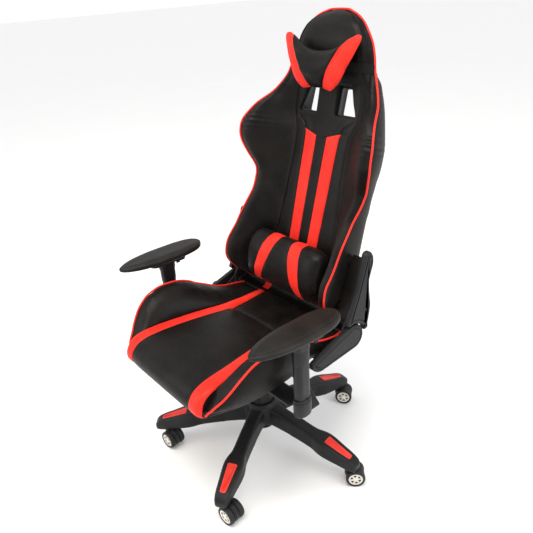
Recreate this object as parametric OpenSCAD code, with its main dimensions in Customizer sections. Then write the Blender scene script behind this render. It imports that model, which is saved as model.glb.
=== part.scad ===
// Racing-style office chair on a five-arm caster base. Millimetres, +Z up, the sitter faces -Y.
// The origin is on the floor, on the gas lift's axis. "Left" is the sitter's left, at +X.

/* [Base] */
// Radius from the lift axis to each caster stem
stem_r = 310; // [280:1:340]
// Angle of the first arm, from +X towards +Y
first_arm = 11.4; // [0:0.1:72]
// Radius of the hub
hub_r = 52; // [46:1:60]
// Height of the hub's top face
hub_top = 170; // [160:1:180]

/* [Casters] */
// Wheel radius
wheel_r = 28; // [24:1:30]
// Width of one wheel
wheel_w = 17; // [14:1:18]
// Gap between the two wheels of a caster
wheel_gap = 18; // [16:1:22]
// How far the axle trails behind the stem
caster_trail = 22; // [16:1:24]

/* [Gas lift] */
// Radius of the outer lift tube
tube_r = 25; // [24:1:27]
// Radius of the gas cylinder
gas_r = 14; // [12:0.5:15]
// Height of the top of the outer lift tube
tube_top = 240; // [220:1:250]

/* [Seat] */
// Height of the seat board's underside
board_z = 388; // [380:1:395]
// Thickness of the plywood seat board
board_t = 12; // [9:1:15]
// Half width of the centre cushion, stripes included
cushion_x = 178; // [165:1:185]
// Height of the centre cushion's top
cushion_top = 466; // [455:1:475]
// Front of the centre cushion
seat_front = -334; // [-345:1:-320]

/* [Backrest] */
// Recline of the backrest from upright
back_lean = 16.12; // [10:0.01:20]
// Height of the backrest's zero level, at which the lean is measured
back_z = 638; // [620:1:650]
// Distance of the centre panel's face behind the lift axis, at that level
back_y = 201; // [190:1:210]
// Thickness of the front foam panel
panel_t = 16; // [12:1:20]
// Depth left for the steel frame between the foam and the rear panel
frame_gap = 18; // [17:1:22]
// Thickness of the rear panel
rear_t = 7; // [5:1:12]

/* [Hinge] */
// Recliner hinge, distance behind the lift axis
hinge_y = 132; // [125:1:140]
// Recliner hinge, height
hinge_z = 450; // [445:1:455]
// Outer face of the hinge covers, from the centre plane
cover_x = 262; // [258:1:266]
// Radius of the hinge pin
pin_r = 8; // [6:0.5:10]

/* [Armrests] */
// Distance of each armrest from the chair's centre plane
arm_x = 294; // [288:1:300]
// Position of each armrest column along the seat
arm_y = -98; // [-110:1:-90]
// Height of the joint between the sleeve and its collar
collar_top = 400; // [390:1:410]
// Height of the top of the left arm pad
pad_top = 606; // [600:1:612]
// How much higher the right armrest stands
right_raise = 10; // [0:1:20]

/* [Hidden] */
$fn = 64;

run_fit = 0.05;          // radial clearance of a running fit
clear = 0.3;             // gap kept between neighbours that only lie close
soft_fn = 12;            // sides of the balls that shape soft solids
arm_count = 5;
arm_step = 360 / arm_count;
// Direction of each caster's axle, from +X, as the casters happen to stand
caster_turn = [-43, -51.6, 62, -84.7, -85];

// Base arm: stations along the arm as [radius, half width, top, bottom]
arm_stations = [
    [0, 24, hub_top - 8, 92], [75, 22, 152, 90], [150, 21, 138, 84], [205, 22, 127, 77],
    [238, 29, 123, 72], [325, 21, 95, 60], [342, 17, 84, 60]
];
inlay_in = 240;
inlay_out = 322;
inlay_t = 3;
stem_pin_r = 5.5;
stem_top = 82;
axle_r = 4;

// Gas lift and mechanism
tube_bottom = 68;
tube_floor = 6;
rod_r = 5;
rod_top = 262;
gas_bottom = 132;
gas_top = 372;
mech_bottom = 338;
mech_top = 376;
mech_x = 60;
mech_y0 = -92;
mech_y1 = 60;
mech_wall = 3;
tilt_y = 45;
tilt_z = 362;
tilt_r = 6;
knob_y = -66;
lever_y = -15;
lever_z = 352;
lever_bend = 140;        // how far the lever's end is bent round from vertical
bracket_t = 6;
bracket_z = board_z - 17.5;

// Backrest, in its own leaning frame: z runs up the back and -y is towards the sitter
rear_y0 = panel_t + frame_gap;
rear_y1 = rear_y0 + rear_t;
bar_y = panel_t + frame_gap / 2;
bar_r = 8;
bar_x = 117;
// Half width of the flat rear panel; the wings curve round from its edges
rear_x = 127;
frame_top = 457;
// Depth of the back's rear face as [height, depth]: the head part comes forward
rear_face = [[-160, rear_y1], [400, rear_y1], [460, 31], [550, 17], [630, 10]];
// Outline of the centre panel as [height, half width]
panel_edge = [
    [-160, 118], [-120, 162], [-40, 172], [75, 168], [135, 164], [200, 168], [280, 178],
    [365, 164], [420, 150], [470, 138], [550, 112], [590, 92], [618, 58], [630, 20]
];
// Wing edge as [height, half width, depth in front of the panel's face, squareness of its side]
wing_edge = [
    [-135, 176, 70, 0.78], [-105, 209, 108, 0.8], [-40, 213, 100, 0.84], [75, 206, 58, 0.88],
    [135, 208, 36, 0.88], [190, 221, 38, 0.86], [250, 251, 78, 0.8], [300, 252, 86, 0.75],
    [365, 221, 58, 0.74], [435, 175, 16, 0.72], [550, 130, 20, 0.7], [592, 102, 24, 0.7]
];
// Harness hole, right-hand one seen from the front: [half width, height] corners
hole = [[36, 366], [104, 366], [80, 438], [36, 438]];

// Seat bolster as [distance behind the axis, half width, height of the piped edge]
bolster_edge = [
    [-303, 197, 425], [-283, 210, 446], [-237, 237, 498], [-198, 243, 523], [-152, 245, 532],
    [-88, 243, 524], [-44, 233, 503], [-9, 226, 485], [22, 221, 471], [94, 220, 452],
    [130, 212, 448]
];

// ---- helpers -------------------------------------------------------------------------------

module mirrored() {
    for (side = [0, 1]) mirror([side, 0, 0]) children();
}

module at_back() {
    translate([0, back_y, back_z]) rotate([-back_lean, 0, 0]) children();
}

module along_x(x0, x1, y, z, r) {
    translate([x0, y, z]) rotate([0, 90, 0]) cylinder(r = r, h = x1 - x0);
}

module along_y(y0, y1, x, z, r) {
    translate([x, y0, z]) rotate([-90, 0, 0]) cylinder(r = r, h = y1 - y0);
}

module ball(x, y, z, r) {
    translate([x, y, z]) sphere(r = r, $fn = soft_fn);
}

module slab_x(x0, x1) {
    translate([x0, 0, 0]) rotate([90, 0, 90]) linear_extrude(x1 - x0) children();
}

module tube(r_out, r_in, z0, z1) {
    translate([0, 0, z0]) difference() {
        cylinder(r = r_out, h = z1 - z0);
        translate([0, 0, -1]) cylinder(r = r_in, h = z1 - z0 + 2);
    }
}

// ---- base ----------------------------------------------------------------------------------

module each_arm() {
    for (i = [0 : arm_count - 1]) rotate(first_arm + i * arm_step) children();
}

module arm_solid() {
    intersection() {
        translate([0, 0, 40]) linear_extrude(hub_top) polygon(concat(
            [for (s = arm_stations) [s[0], -s[1]]],
            [for (i = [len(arm_stations) - 1 : -1 : 0]) [arm_stations[i][0], arm_stations[i][1]]]));
        rotate([90, 0, 0]) translate([0, 0, -40]) linear_extrude(80) polygon(concat(
            [for (s = arm_stations) [s[0], s[2]]],
            [for (i = [len(arm_stations) - 1 : -1 : 0]) [arm_stations[i][0], arm_stations[i][3]]]));
    }
}

module inlay_shape(grow) {
    translate([0, 0, 60]) linear_extrude(hub_top) polygon([
        [inlay_in - grow, -15 - grow], [inlay_out + grow, -9 - grow],
        [inlay_out + grow, 9 + grow], [inlay_in - grow, 15 + grow]]);
}

module inlay_band(depth) {
    rotate([90, 0, 0]) translate([0, 0, -30]) linear_extrude(60) polygon([
        [238, 124 - depth], [325, 95 - depth], [325, 96], [238, 125]]);
}

module star_base() {
    color("dimgray") difference() {
        union() {
            translate([0, 0, 96]) cylinder(r = hub_r, h = hub_top - 96);
            translate([0, 0, 72]) cylinder(r = hub_r - 14, h = 30);
            translate([0, 0, 102]) rotate(first_arm) cylinder(r = hub_r + 24, h = 50, $fn = 10);
            each_arm() arm_solid();
        }
        translate([0, 0, 40]) cylinder(r = tube_r, h = hub_top);
        each_arm() intersection() {
            inlay_shape(0.1);
            inlay_band(inlay_t);
        }
        each_arm() translate([stem_r, 0, 40]) cylinder(r = stem_pin_r + run_fit, h = stem_top - 39);
    }
}

module arm_inlays() {
    color("tomato") each_arm() intersection() {
        inlay_shape(0);
        inlay_band(inlay_t);
        translate([0, -30, 60]) cube([400, 60, 80]);
    }
}

module lift_tube() {
    color("darkslategray") difference() {
        translate([0, 0, tube_bottom]) cylinder(r = tube_r, h = tube_top - tube_bottom);
        translate([0, 0, tube_bottom - 1]) cylinder(r = rod_r + run_fit, h = tube_floor + 2);
        translate([0, 0, tube_bottom + tube_floor]) cylinder(r = tube_r - 3, h = 126);
        translate([0, 0, tube_bottom + tube_floor]) cylinder(r = gas_r + run_fit, h = 200);
    }
}

module thrust_bearing() {
    color("silver") tube(13, rod_r + run_fit, tube_bottom + tube_floor, tube_bottom + tube_floor + 7);
}

module dust_sleeve_lower() {
    color("black") tube(38, 35.5, hub_top, 238);
}

module dust_sleeve_middle() {
    color("black") tube(35, 32.5, 190, 302);
}

module dust_sleeve_upper() {
    color("black") tube(32, 27, 252, mech_bottom);
}

module lift_rod() {
    color("silver") union() {
        translate([0, 0, tube_bottom - 4]) cylinder(r = rod_r, h = rod_top - tube_bottom + 4);
        translate([0, 0, tube_bottom + tube_floor + 7.05]) cylinder(r = 11, h = 4);
    }
}

// ---- gas lift and seat mechanism -------------------------------------------------------------

module gas_cylinder() {
    color("gray") difference() {
        translate([0, 0, gas_bottom]) cylinder(r = gas_r, h = gas_top - gas_bottom);
        translate([0, 0, gas_bottom - 1]) cylinder(r = rod_r + run_fit, h = 12);
        translate([0, 0, gas_bottom + 10]) cylinder(r = gas_r - 3, h = 170);
    }
}

module mech_housing() {
    color("dimgray") difference() {
        union() {
            difference() {
                translate([-mech_x, mech_y0, mech_bottom])
                    cube([2 * mech_x, mech_y1 - mech_y0, mech_top - mech_bottom]);
                translate([-mech_x + mech_wall, mech_y0 + mech_wall, mech_bottom + mech_wall])
                    cube([2 * (mech_x - mech_wall), mech_y1 - mech_y0 - 2 * mech_wall, 60]);
            }
            translate([0, 0, mech_bottom]) cylinder(r = gas_r + 7, h = 30);
            translate([0, knob_y, mech_bottom]) cylinder(r = 12, h = 12);
        }
        translate([0, 0, mech_bottom - 1]) cylinder(r = gas_r, h = 60);
        translate([0, knob_y, mech_bottom - 1]) cylinder(r = 5 + run_fit, h = 30);
        along_x(-mech_x - 1, mech_x + 1, tilt_y, tilt_z, tilt_r);
        along_x(mech_x - 10, mech_x + 1, lever_y, lever_z, 9 + run_fit);
    }
}

module tilt_pin() {
    color("silver") along_x(-mech_x - 9, mech_x + 9, tilt_y, tilt_z, tilt_r);
}

// Coil between the knob and the housing, seven turns of 4 mm wire
module tilt_spring() {
    color("silver") for (i = [0 : 6]) translate([0, knob_y, 305 + i * 4.9])
        rotate_extrude() translate([13, 0]) circle(r = 2, $fn = 16);
}

module tension_knob() {
    color("black") union() {
        translate([0, knob_y, 270]) cylinder(r = 25, h = 28);
        translate([0, knob_y, 297]) cylinder(r = 19, h = 5.5);
        translate([0, knob_y, 300]) cylinder(r = 5, h = 70);
        for (a = [0 : 45 : 315]) translate([0, knob_y, 272]) rotate(a)
            translate([24, 0, 0]) cylinder(r = 4, h = 24);
    }
}

module lever_bush() {
    color("black") union() {
        difference() {
            along_x(mech_x - 20, mech_x + 16, lever_y, lever_z, 9);
            along_x(mech_x - 21, mech_x + 17, lever_y, lever_z, 7);
        }
        along_y(lever_y - 8, lever_y + 8, mech_x - 2, lever_z, 1.5);
    }
}

module lever_rod() {
    color("gray") difference() {
        union() {
            along_x(mech_x - 14, 205, lever_y, lever_z, 4);
            translate([205, lever_y, lever_z]) sphere(r = 4);
            translate([205, lever_y, lever_z]) rotate([0, lever_bend, 0]) cylinder(r = 4, h = 46);
        }
        along_y(lever_y - 8, lever_y + 8, mech_x - 2, lever_z, 1.5 + run_fit);
    }
}

module lever_paddle() {
    color("black") translate([205, lever_y, lever_z]) rotate([0, lever_bend, 0]) difference() {
        hull() {
            for (s = [-1, 1]) {
                translate([0, s * 8, 18]) sphere(r = 6, $fn = 24);
                translate([3, s * 14, 73]) sphere(r = 5, $fn = 24);
            }
        }
        cylinder(r = 4, h = 46);
    }
}

// ---- seat ------------------------------------------------------------------------------------

module seat_plate() {
    color("dimgray") difference() {
        union() {
            translate([-110, -120, board_z - 5]) cube([220, 230, 5]);
            for (s = [-1, 1]) translate([s * (mech_x + 4) - 2.5, 25, tilt_z - 14])
                cube([5, 40, board_z - tilt_z + 12]);
        }
        along_x(-mech_x - 9, mech_x + 9, tilt_y, tilt_z, tilt_r + run_fit);
        for (x = [-90, 90], y = [-95, 90]) translate([x, y, board_z - 10]) cylinder(r = 4, h = 20);
        translate([0, knob_y, board_z - 10]) cylinder(r = 8, h = 20);
    }
}

module seat_board() {
    color("burlywood") difference() {
        translate([-172, -300, board_z]) cube([344, 412, board_t]);
        for (x = [-90, 90], y = [-95, 90]) translate([x, y, board_z - 1]) cylinder(r = 4, h = 20);
    }
}

module seat_bolts() {
    color("silver") for (x = [-90, 90], y = [-95, 90]) {
        translate([x, y, board_z - 5]) cylinder(r = 4, h = board_t + 4);
        translate([x, y, board_z - 10]) cylinder(r = 7, h = 5);
    }
}

module seat_cushion() {
    color("black") difference() {
        hull() {
            along_x(16 - cushion_x, cushion_x - 16, seat_front + 38, cushion_top - 38, 38);
            along_x(16 - cushion_x, cushion_x - 16, seat_front + 28, board_z + 28, 27);
            along_x(-cushion_x, cushion_x, seat_front + 62, cushion_top - 32, 32);
            along_x(-cushion_x, cushion_x, seat_front + 58, board_z + 26, 26);
            along_x(-cushion_x, cushion_x, -120, cushion_top - 20, 20);
            along_x(-cushion_x, cushion_x, 118, 434, 17);
            along_x(-cushion_x, cushion_x, 118, board_z + board_t + 10, 9);
        }
        translate([-172 - clear, -300 - clear, board_z - 20]) cube([344 + 2 * clear, 460, board_t + 20.1]);
        translate([-200, -40, board_z - 20]) cube([400, 200, board_t + 20.1]);
    }
}

module bolster_section(s) {
    inner = cushion_x + 9.5;
    ball(s[1] - 10, s[0], s[2] - 10, 10);
    ball(s[1] + 2, s[0], (s[2] + board_z) / 2 + 8, 10);
    ball(s[1] - 12, s[0], board_z + 14, 9);
    ball(inner, s[0], max(cushion_top - 28, s[2] - 60), 9);
    ball(inner, s[0], board_z + 14, 9);
}

module bolster() {
    difference() {
        for (i = [0 : len(bolster_edge) - 2]) hull() {
            bolster_section(bolster_edge[i]);
            bolster_section(bolster_edge[i + 1]);
        }
        translate([0, -400, 300]) cube([cushion_x + clear, 700, 300]);
        translate([150, 40 - clear, 393.5 - clear]) cube([120, 60 + 2 * clear, 6 + 2 * clear]);
    }
}

module seat_bolster_left() {
    color("black") bolster();
}

module seat_bolster_right() {
    color("black") mirror([1, 0, 0]) bolster();
}

// ---- armrests: the left one, mirrored for the right ---------------------------------------------

module arm_brackets() {
    color("dimgray") mirrored() union() {
        translate([112, arm_y - 27, bracket_z]) cube([arm_x - 136, 54, bracket_t]);
        translate([112, arm_y - 27, bracket_z]) cube([40, 54, board_z - bracket_z]);
        bracket_tongue();
        translate([arm_x - 7, arm_y - 14, board_z - 30]) cube([14, 28, 172]);
    }
}

module bracket_tongue() {
    translate([arm_x - 30, arm_y - 12, bracket_z]) cube([30, 24, bracket_t]);
}

module oval(rx, ry, h) {
    linear_extrude(h) union() {
        square([2 * rx, 2 * (ry - rx)], center = true);
        for (s = [-1, 1]) translate([0, s * (ry - rx)]) circle(r = rx);
    }
}

module arm_collars() {
    color("dimgray") mirrored() difference() {
        translate([arm_x, arm_y, 347]) oval(16.5, 24.5, collar_top - 347);
        translate([arm_x - 7, arm_y - 14, board_z - 30]) cube([14, 28, 172]);
        bracket_tongue();
    }
}

module arm_sleeve() {
    ears_z = pad_top - 36;
    difference() {
        union() {
            translate([arm_x, arm_y, collar_top + clear]) oval(15, 22, pad_top - 42 - collar_top);
            translate([arm_x, arm_y, ears_z - 22]) oval(17, 26, 20);
            translate([arm_x, arm_y + 4, ears_z - 2]) oval(22, 62, 9.7);
            for (s = [-1, 1]) translate([arm_x + 4 + s * 15 - 1.5, arm_y + 28, ears_z - 14])
                cube([3, 12, 14]);
        }
        translate([arm_x - 7 - run_fit, arm_y - 14 - run_fit, collar_top])
            cube([14 + 2 * run_fit, 28 + 2 * run_fit, board_z + 148 - collar_top]);
        along_x(arm_x - 16, arm_x + 26, arm_y + 34, ears_z - 8, 2 + run_fit);
    }
}

module arm_pad() {
    hull() {
        for (x = [-28, 28]) {
            ball(arm_x + x, -100, pad_top - 13, 13);
            ball(arm_x + x, 2, pad_top - 20, 13);
            ball(arm_x + x * 0.82, -205, pad_top - 16, 13);
        }
        ball(arm_x, 14, pad_top - 22, 12);
        ball(arm_x, -232, pad_top - 24, 12);
    }
}

module arm_pad_solid() {
    difference() {
        arm_pad();
        translate([arm_x - 60, -300, pad_top - 60]) cube([120, 400, 32]);
    }
}

module arm_trigger() {
    ears_z = pad_top - 36;
    union() {
        along_x(arm_x - 16 + 4, arm_x + 19 + 1.5, arm_y + 34, ears_z - 8, 2);
        along_x(arm_x - 9, arm_x + 17, arm_y + 34, ears_z - 8, 4);
        translate([arm_x - 9, arm_y + 34, ears_z - 12]) cube([26, 26, 4]);
    }
}

module arm_sleeve_left() { color("dimgray") arm_sleeve(); }
module arm_sleeve_right() { color("dimgray") translate([0, 0, right_raise]) mirror([1, 0, 0]) arm_sleeve(); }
module arm_pad_left() { color("black") arm_pad_solid(); }
module arm_pad_right() { color("black") translate([0, 0, right_raise]) mirror([1, 0, 0]) arm_pad_solid(); }
module arm_trigger_left() { color("gray") arm_trigger(); }
module arm_trigger_right() { color("gray") translate([0, 0, right_raise]) mirror([1, 0, 0]) arm_trigger(); }

// ---- recliner hinge ------------------------------------------------------------------------------

module recliner_plates() {
    color("dimgray") mirrored() difference() {
        union() {
            slab_x(240.5, 245.5) polygon([
                [34, 397], [100, 397], [hinge_y + 14, hinge_z - 18], [hinge_y + 18, hinge_z + 12],
                [hinge_y - 12, hinge_z + 20], [34, 420]]);
            translate([172, 40, 393.5]) cube([70, 60, 6]);
        }
        along_x(230, 250, hinge_y, hinge_z, pin_r);
    }
}

module recliner_pins() {
    color("silver") mirrored() union() {
        along_x(228, 245.5, hinge_y, hinge_z, pin_r);
        along_x(224.5, 228.5, hinge_y, hinge_z, pin_r + 4);
    }
}

module lower_covers() {
    cover_r = 37;
    color("dimgray") difference() {
        mirrored() slab_x(246, cover_x) union() {
            translate([hinge_y, hinge_z]) circle(r = cover_r);
            polygon([
                [hinge_y - 17, hinge_z + 32], [-10, 446], [-27, 438], [-27, 425],
                [-12, 409], [4, 403], [hinge_y + 6, hinge_z - cover_r + 1]]);
        }
        along_x(-280, -240, 66, 432, 6 + run_fit);
    }
}

module recline_lever() {
    color("black") union() {
        along_x(-280, -247, 66, 432, 6);
        translate([-280, 66, 432]) rotate([0, 90, 0]) translate([0, 0, -8]) union() {
            cylinder(r = 15, h = 10);
            rotate(-92) translate([0, -9, 1]) cube([100, 18, 8]);
            rotate(-92) translate([100, 0, 1]) cylinder(r = 9, h = 8);
        }
    }
}

// The upper cover follows the backrest: its lower edge is an arc about the hinge
module upper_covers() {
    color("dimgray") mirrored() slab_x(246, cover_x) difference() {
        polygon([
            [106, 494], [130, 480], [166, 446], [180, 458], [191, 480], [199, 527], [193, 570],
            [191, 605], [207, 650], [206, 670], [194, 688], [176, 686], [163, 640], [138, 570],
            [118, 525]]);
        translate([hinge_y, hinge_z]) circle(r = 42);
    }
}

// ---- backrest --------------------------------------------------------------------------------------

module back_outline(grow) {
    polygon(concat(
        [for (p = panel_edge) [p[1] + grow, p[0] + (p[0] > 600 ? grow : 0)]],
        [for (i = [len(panel_edge) - 1 : -1 : 0])
            [-panel_edge[i][1] - grow, panel_edge[i][0] + (panel_edge[i][0] > 600 ? grow : 0)]]));
}

module back_slab(y0, y1, grow = 0) {
    translate([0, y1, 0]) rotate([90, 0, 0]) linear_extrude(y1 - y0) back_outline(grow);
}

function scaled_hole(grow) = [
    [hole[0][0] - grow, hole[0][1] - grow], [hole[1][0] + grow, hole[1][1] - grow],
    [hole[2][0] + grow, hole[2][1] + grow], [hole[3][0] - grow, hole[3][1] + grow]];

module hole_slab(y0, y1, grow) {
    mirrored() translate([0, y1, 0]) rotate([90, 0, 0]) linear_extrude(y1 - y0)
        polygon(scaled_hole(grow));
}

module back_panel() {
    color("black") at_back() difference() {
        union() {
            back_slab(0, panel_t);
            intersection() {
                hull() for (x = [-1, 1]) {
                    ball(x * 78, 2, 480, 14);
                    ball(x * 78, -10, 570, 14);
                    ball(x * 47, -2, 604, 14);
                    ball(x * 119, 22, 456, 9);
                    ball(x * 84, 2, 560, 9);
                    ball(x * 46, -1, 612, 9);
                }
                back_slab(-60, 60);
            }
        }
        hole_slab(-60, 90, 3);
        for (s = [-1, 1]) translate([s * bar_x, bar_y, -122]) cylinder(r = bar_r + clear, h = frame_top + 124);
        along_x(-bar_x, bar_x, bar_y, frame_top - 6, bar_r - 2 + clear);
    }
}

module rear_panel() {
    color("black") at_back() difference() {
        intersection() {
            back_slab(rear_y0, rear_y1);
            translate([-rear_x, 0, -200]) cube([2 * rear_x, 100, 200 + 442]);
        }
        hole_slab(-60, 90, 3);
    }
}

module belt_bezels() {
    color("dimgray") at_back() difference() {
        hole_slab(-3, rear_y1 + 2, 3);
        hole_slab(-10, 90, 0);
    }
}

module back_uprights() {
    color("dimgray") at_back() for (s = [-1, 1]) translate([s * bar_x, bar_y, -122])
        cylinder(r = bar_r, h = frame_top + 122);
}

module back_crossbars() {
    color("dimgray") difference() {
        union() {
            at_back() {
                along_x(-238, 238, bar_y, -130.5, bar_r);
                along_x(-bar_x, bar_x, bar_y, 340, bar_r - 2);
                along_x(-bar_x, bar_x, bar_y, frame_top - 6, bar_r - 2);
            }
            mirrored() slab_x(233, 239.5) polygon([
                [hinge_y - 22, hinge_z - 14], [hinge_y + 16, hinge_z - 18],
                [hinge_y + 62, hinge_z + 40], [hinge_y + 84, hinge_z + 150],
                [hinge_y + 64, hinge_z + 150], [hinge_y - 20, hinge_z + 26]]);
        }
        along_x(-250, 250, hinge_y, hinge_z, pin_r + run_fit);
        at_back() for (s = [-1, 1]) translate([s * bar_x, bar_y, -122]) cylinder(r = bar_r, h = frame_top + 122);
    }
}

// Cross-section of a wing: a rounded piped edge, then an elliptical sweep round to the rear panel
module wing_section(s) {
    rear = lookup(s[0], rear_face);
    inner = min(rear_x + 8, s[1] - 26);
    ball(s[1] - 7, -s[2] + 7, s[0], 7);
    ball((s[1] - 7) * 0.96, -s[2] + (s[2] + rear - 7) * 0.34, s[0], 7);
    ball((s[1] - 7) * s[3], -s[2] + (s[2] + rear - 7) * 0.7, s[0], 7);
    ball(inner, rear - 7, s[0], 7);
    ball(inner, min(panel_t + 6, rear - 8), s[0], 6);
}

module wing() {
    difference() {
        at_back() difference() {
            for (i = [0 : len(wing_edge) - 2]) hull() {
                wing_section(wing_edge[i]);
                wing_section(wing_edge[i + 1]);
            }
            back_slab(-200, panel_t + clear, clear);
            intersection() {
                back_slab(-200, 200, clear);
                translate([0, -200, frame_top - 8]) cube([300, 400, 400]);
            }
            translate([-1, -200, -400]) cube([rear_x + clear + 1, 400, frame_top - 8 + 400]);
            along_x(0, 260, bar_y, -130.5, bar_r + clear);
        }
    }
}

module back_wing_left() {
    color("black") wing();
}

module back_wing_right() {
    color("black") mirror([1, 0, 0]) wing();
}

// ---- pillows ----------------------------------------------------------------------------------------

module head_pillow() {
    color("black") at_back() hull() {
        for (x = [-1, 1]) {
            ball(x * 122, -50, 556, 12);
            ball(x * 62, -58, 520, 20);
            ball(x * 46, -52, 440, 18);
            ball(x * 90, -46, 500, 14);
        }
    }
}

module head_strap() {
    strap_x = 160;
    color("black") at_back() translate([0, 0, 488]) difference() {
        translate([-strap_x, -29, 0]) cube([2 * strap_x, 65, 20]);
        translate([-strap_x + 1.5, -27.5, -1]) cube([2 * strap_x - 3, 62, 22]);
    }
}

module lumbar_pillow() {
    color("black") at_back() hull() {
        for (x = [-1, 1]) {
            ball(x * 122, -40, -14, 27);
            ball(x * 122, -40, -108, 27);
            ball(x * 70, -52, -60, 46);
        }
    }
}

// ---- casters ------------------------------------------------------------------------------------------

module at_caster(i) {
    rotate(first_arm + (i - 1) * arm_step) translate([stem_r, 0, 0])
        rotate(caster_turn[i - 1] - first_arm - (i - 1) * arm_step) children();
}

module caster_frame(i) {
    web_w = wheel_gap - 2;
    color("black") at_caster(i) difference() {
        union() {
            along_x(-web_w / 2, web_w / 2, caster_trail, wheel_r, wheel_r - 1);
            translate([-web_w / 2, -6, wheel_r - 6]) cube([web_w, caster_trail, 31]);
            translate([0, 0, wheel_r]) cylinder(r = wheel_gap / 2 - 0.5, h = 59 - wheel_r);
            translate([0, 0, 2 * wheel_r + 0.6]) cylinder(r = 11, h = 2.6);
        }
        translate([0, 0, wheel_r - 2]) cylinder(r = stem_pin_r, h = 60);
        along_x(-20, 20, caster_trail, wheel_r, axle_r);
    }
}

module caster_pins(i) {
    half = wheel_gap / 2 + wheel_w;
    color("silver") at_caster(i) union() {
        translate([0, 0, wheel_r - 2]) cylinder(r = stem_pin_r, h = stem_top - wheel_r);
        along_x(-half + 4, half - 4, caster_trail, wheel_r, axle_r);
    }
}

module caster_wheels(i) {
    color("gainsboro") at_caster(i) mirrored() difference() {
        along_x(wheel_gap / 2, wheel_gap / 2 + wheel_w, caster_trail, wheel_r, wheel_r);
        along_x(wheel_gap / 2 - 1, wheel_gap / 2 + wheel_w - 3, caster_trail, wheel_r, axle_r + run_fit);
        along_x(wheel_gap / 2 + wheel_w - 2, wheel_gap / 2 + wheel_w + 1, caster_trail, wheel_r, 21);
    }
}

// ---- what is drawn --------------------------------------------------------------------------------------

star_base();
arm_inlays();
lift_tube();
thrust_bearing();
dust_sleeve_lower();
dust_sleeve_middle();
lift_rod();
gas_cylinder();
mech_housing();
dust_sleeve_upper();
tilt_pin();
tilt_spring();
tension_knob();
lever_bush();
lever_rod();
lever_paddle();
seat_plate();
seat_board();
seat_cushion();
seat_bolster_left();
seat_bolster_right();
seat_bolts();
arm_brackets();
arm_collars();
recliner_plates();
recliner_pins();
lower_covers();
recline_lever();
back_uprights();
back_crossbars();
back_panel();
rear_panel();
back_wing_left();
back_wing_right();
belt_bezels();
upper_covers();
head_pillow();
head_strap();
lumbar_pillow();
arm_sleeve_left();
arm_pad_left();
arm_trigger_left();
arm_sleeve_right();
arm_pad_right();
arm_trigger_right();
caster_frame(1);  // caster_frame_1
caster_pins(1);  // caster_pins_1
caster_wheels(1);  // caster_wheels_1
caster_frame(2);  // caster_frame_2
caster_pins(2);  // caster_pins_2
caster_wheels(2);  // caster_wheels_2
caster_frame(3);  // caster_frame_3
caster_pins(3);  // caster_pins_3
caster_wheels(3);  // caster_wheels_3
caster_frame(4);  // caster_frame_4
caster_pins(4);  // caster_pins_4
caster_wheels(4);  // caster_wheels_4
caster_frame(5);  // caster_frame_5
caster_pins(5);  // caster_pins_5
caster_wheels(5);  // caster_wheels_5
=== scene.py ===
import math
import bpy
import bmesh
import numpy as np
from mathutils import Matrix, Vector, noise
from mathutils.bvhtree import BVHTree


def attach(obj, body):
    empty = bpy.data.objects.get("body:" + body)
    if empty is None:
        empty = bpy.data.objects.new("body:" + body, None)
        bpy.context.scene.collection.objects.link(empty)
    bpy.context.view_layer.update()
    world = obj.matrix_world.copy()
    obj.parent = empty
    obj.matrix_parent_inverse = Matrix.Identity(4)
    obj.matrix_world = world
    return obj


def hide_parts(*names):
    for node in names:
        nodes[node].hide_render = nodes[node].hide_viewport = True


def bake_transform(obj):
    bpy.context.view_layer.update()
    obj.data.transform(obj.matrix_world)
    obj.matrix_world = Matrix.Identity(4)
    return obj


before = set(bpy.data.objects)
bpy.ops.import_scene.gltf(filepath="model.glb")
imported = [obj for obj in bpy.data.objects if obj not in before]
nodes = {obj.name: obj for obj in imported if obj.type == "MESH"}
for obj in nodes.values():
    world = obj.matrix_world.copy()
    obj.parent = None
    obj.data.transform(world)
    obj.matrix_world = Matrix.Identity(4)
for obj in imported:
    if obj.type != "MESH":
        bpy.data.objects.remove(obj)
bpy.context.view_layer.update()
mm = 0.001


class Wire:
    def __init__(self, shader, socket):
        self.shader, self.socket = shader, socket

    def math(self, operation, *values):
        return self.shader.add("ShaderNodeMath", {"operation": operation}, dict(enumerate(values)))

    def __add__(self, other): return self.math("ADD", self, other)
    def __radd__(self, other): return self.math("ADD", other, self)
    def __mul__(self, other): return self.math("MULTIPLY", self, other)
    def __rmul__(self, other): return self.math("MULTIPLY", other, self)


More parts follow.
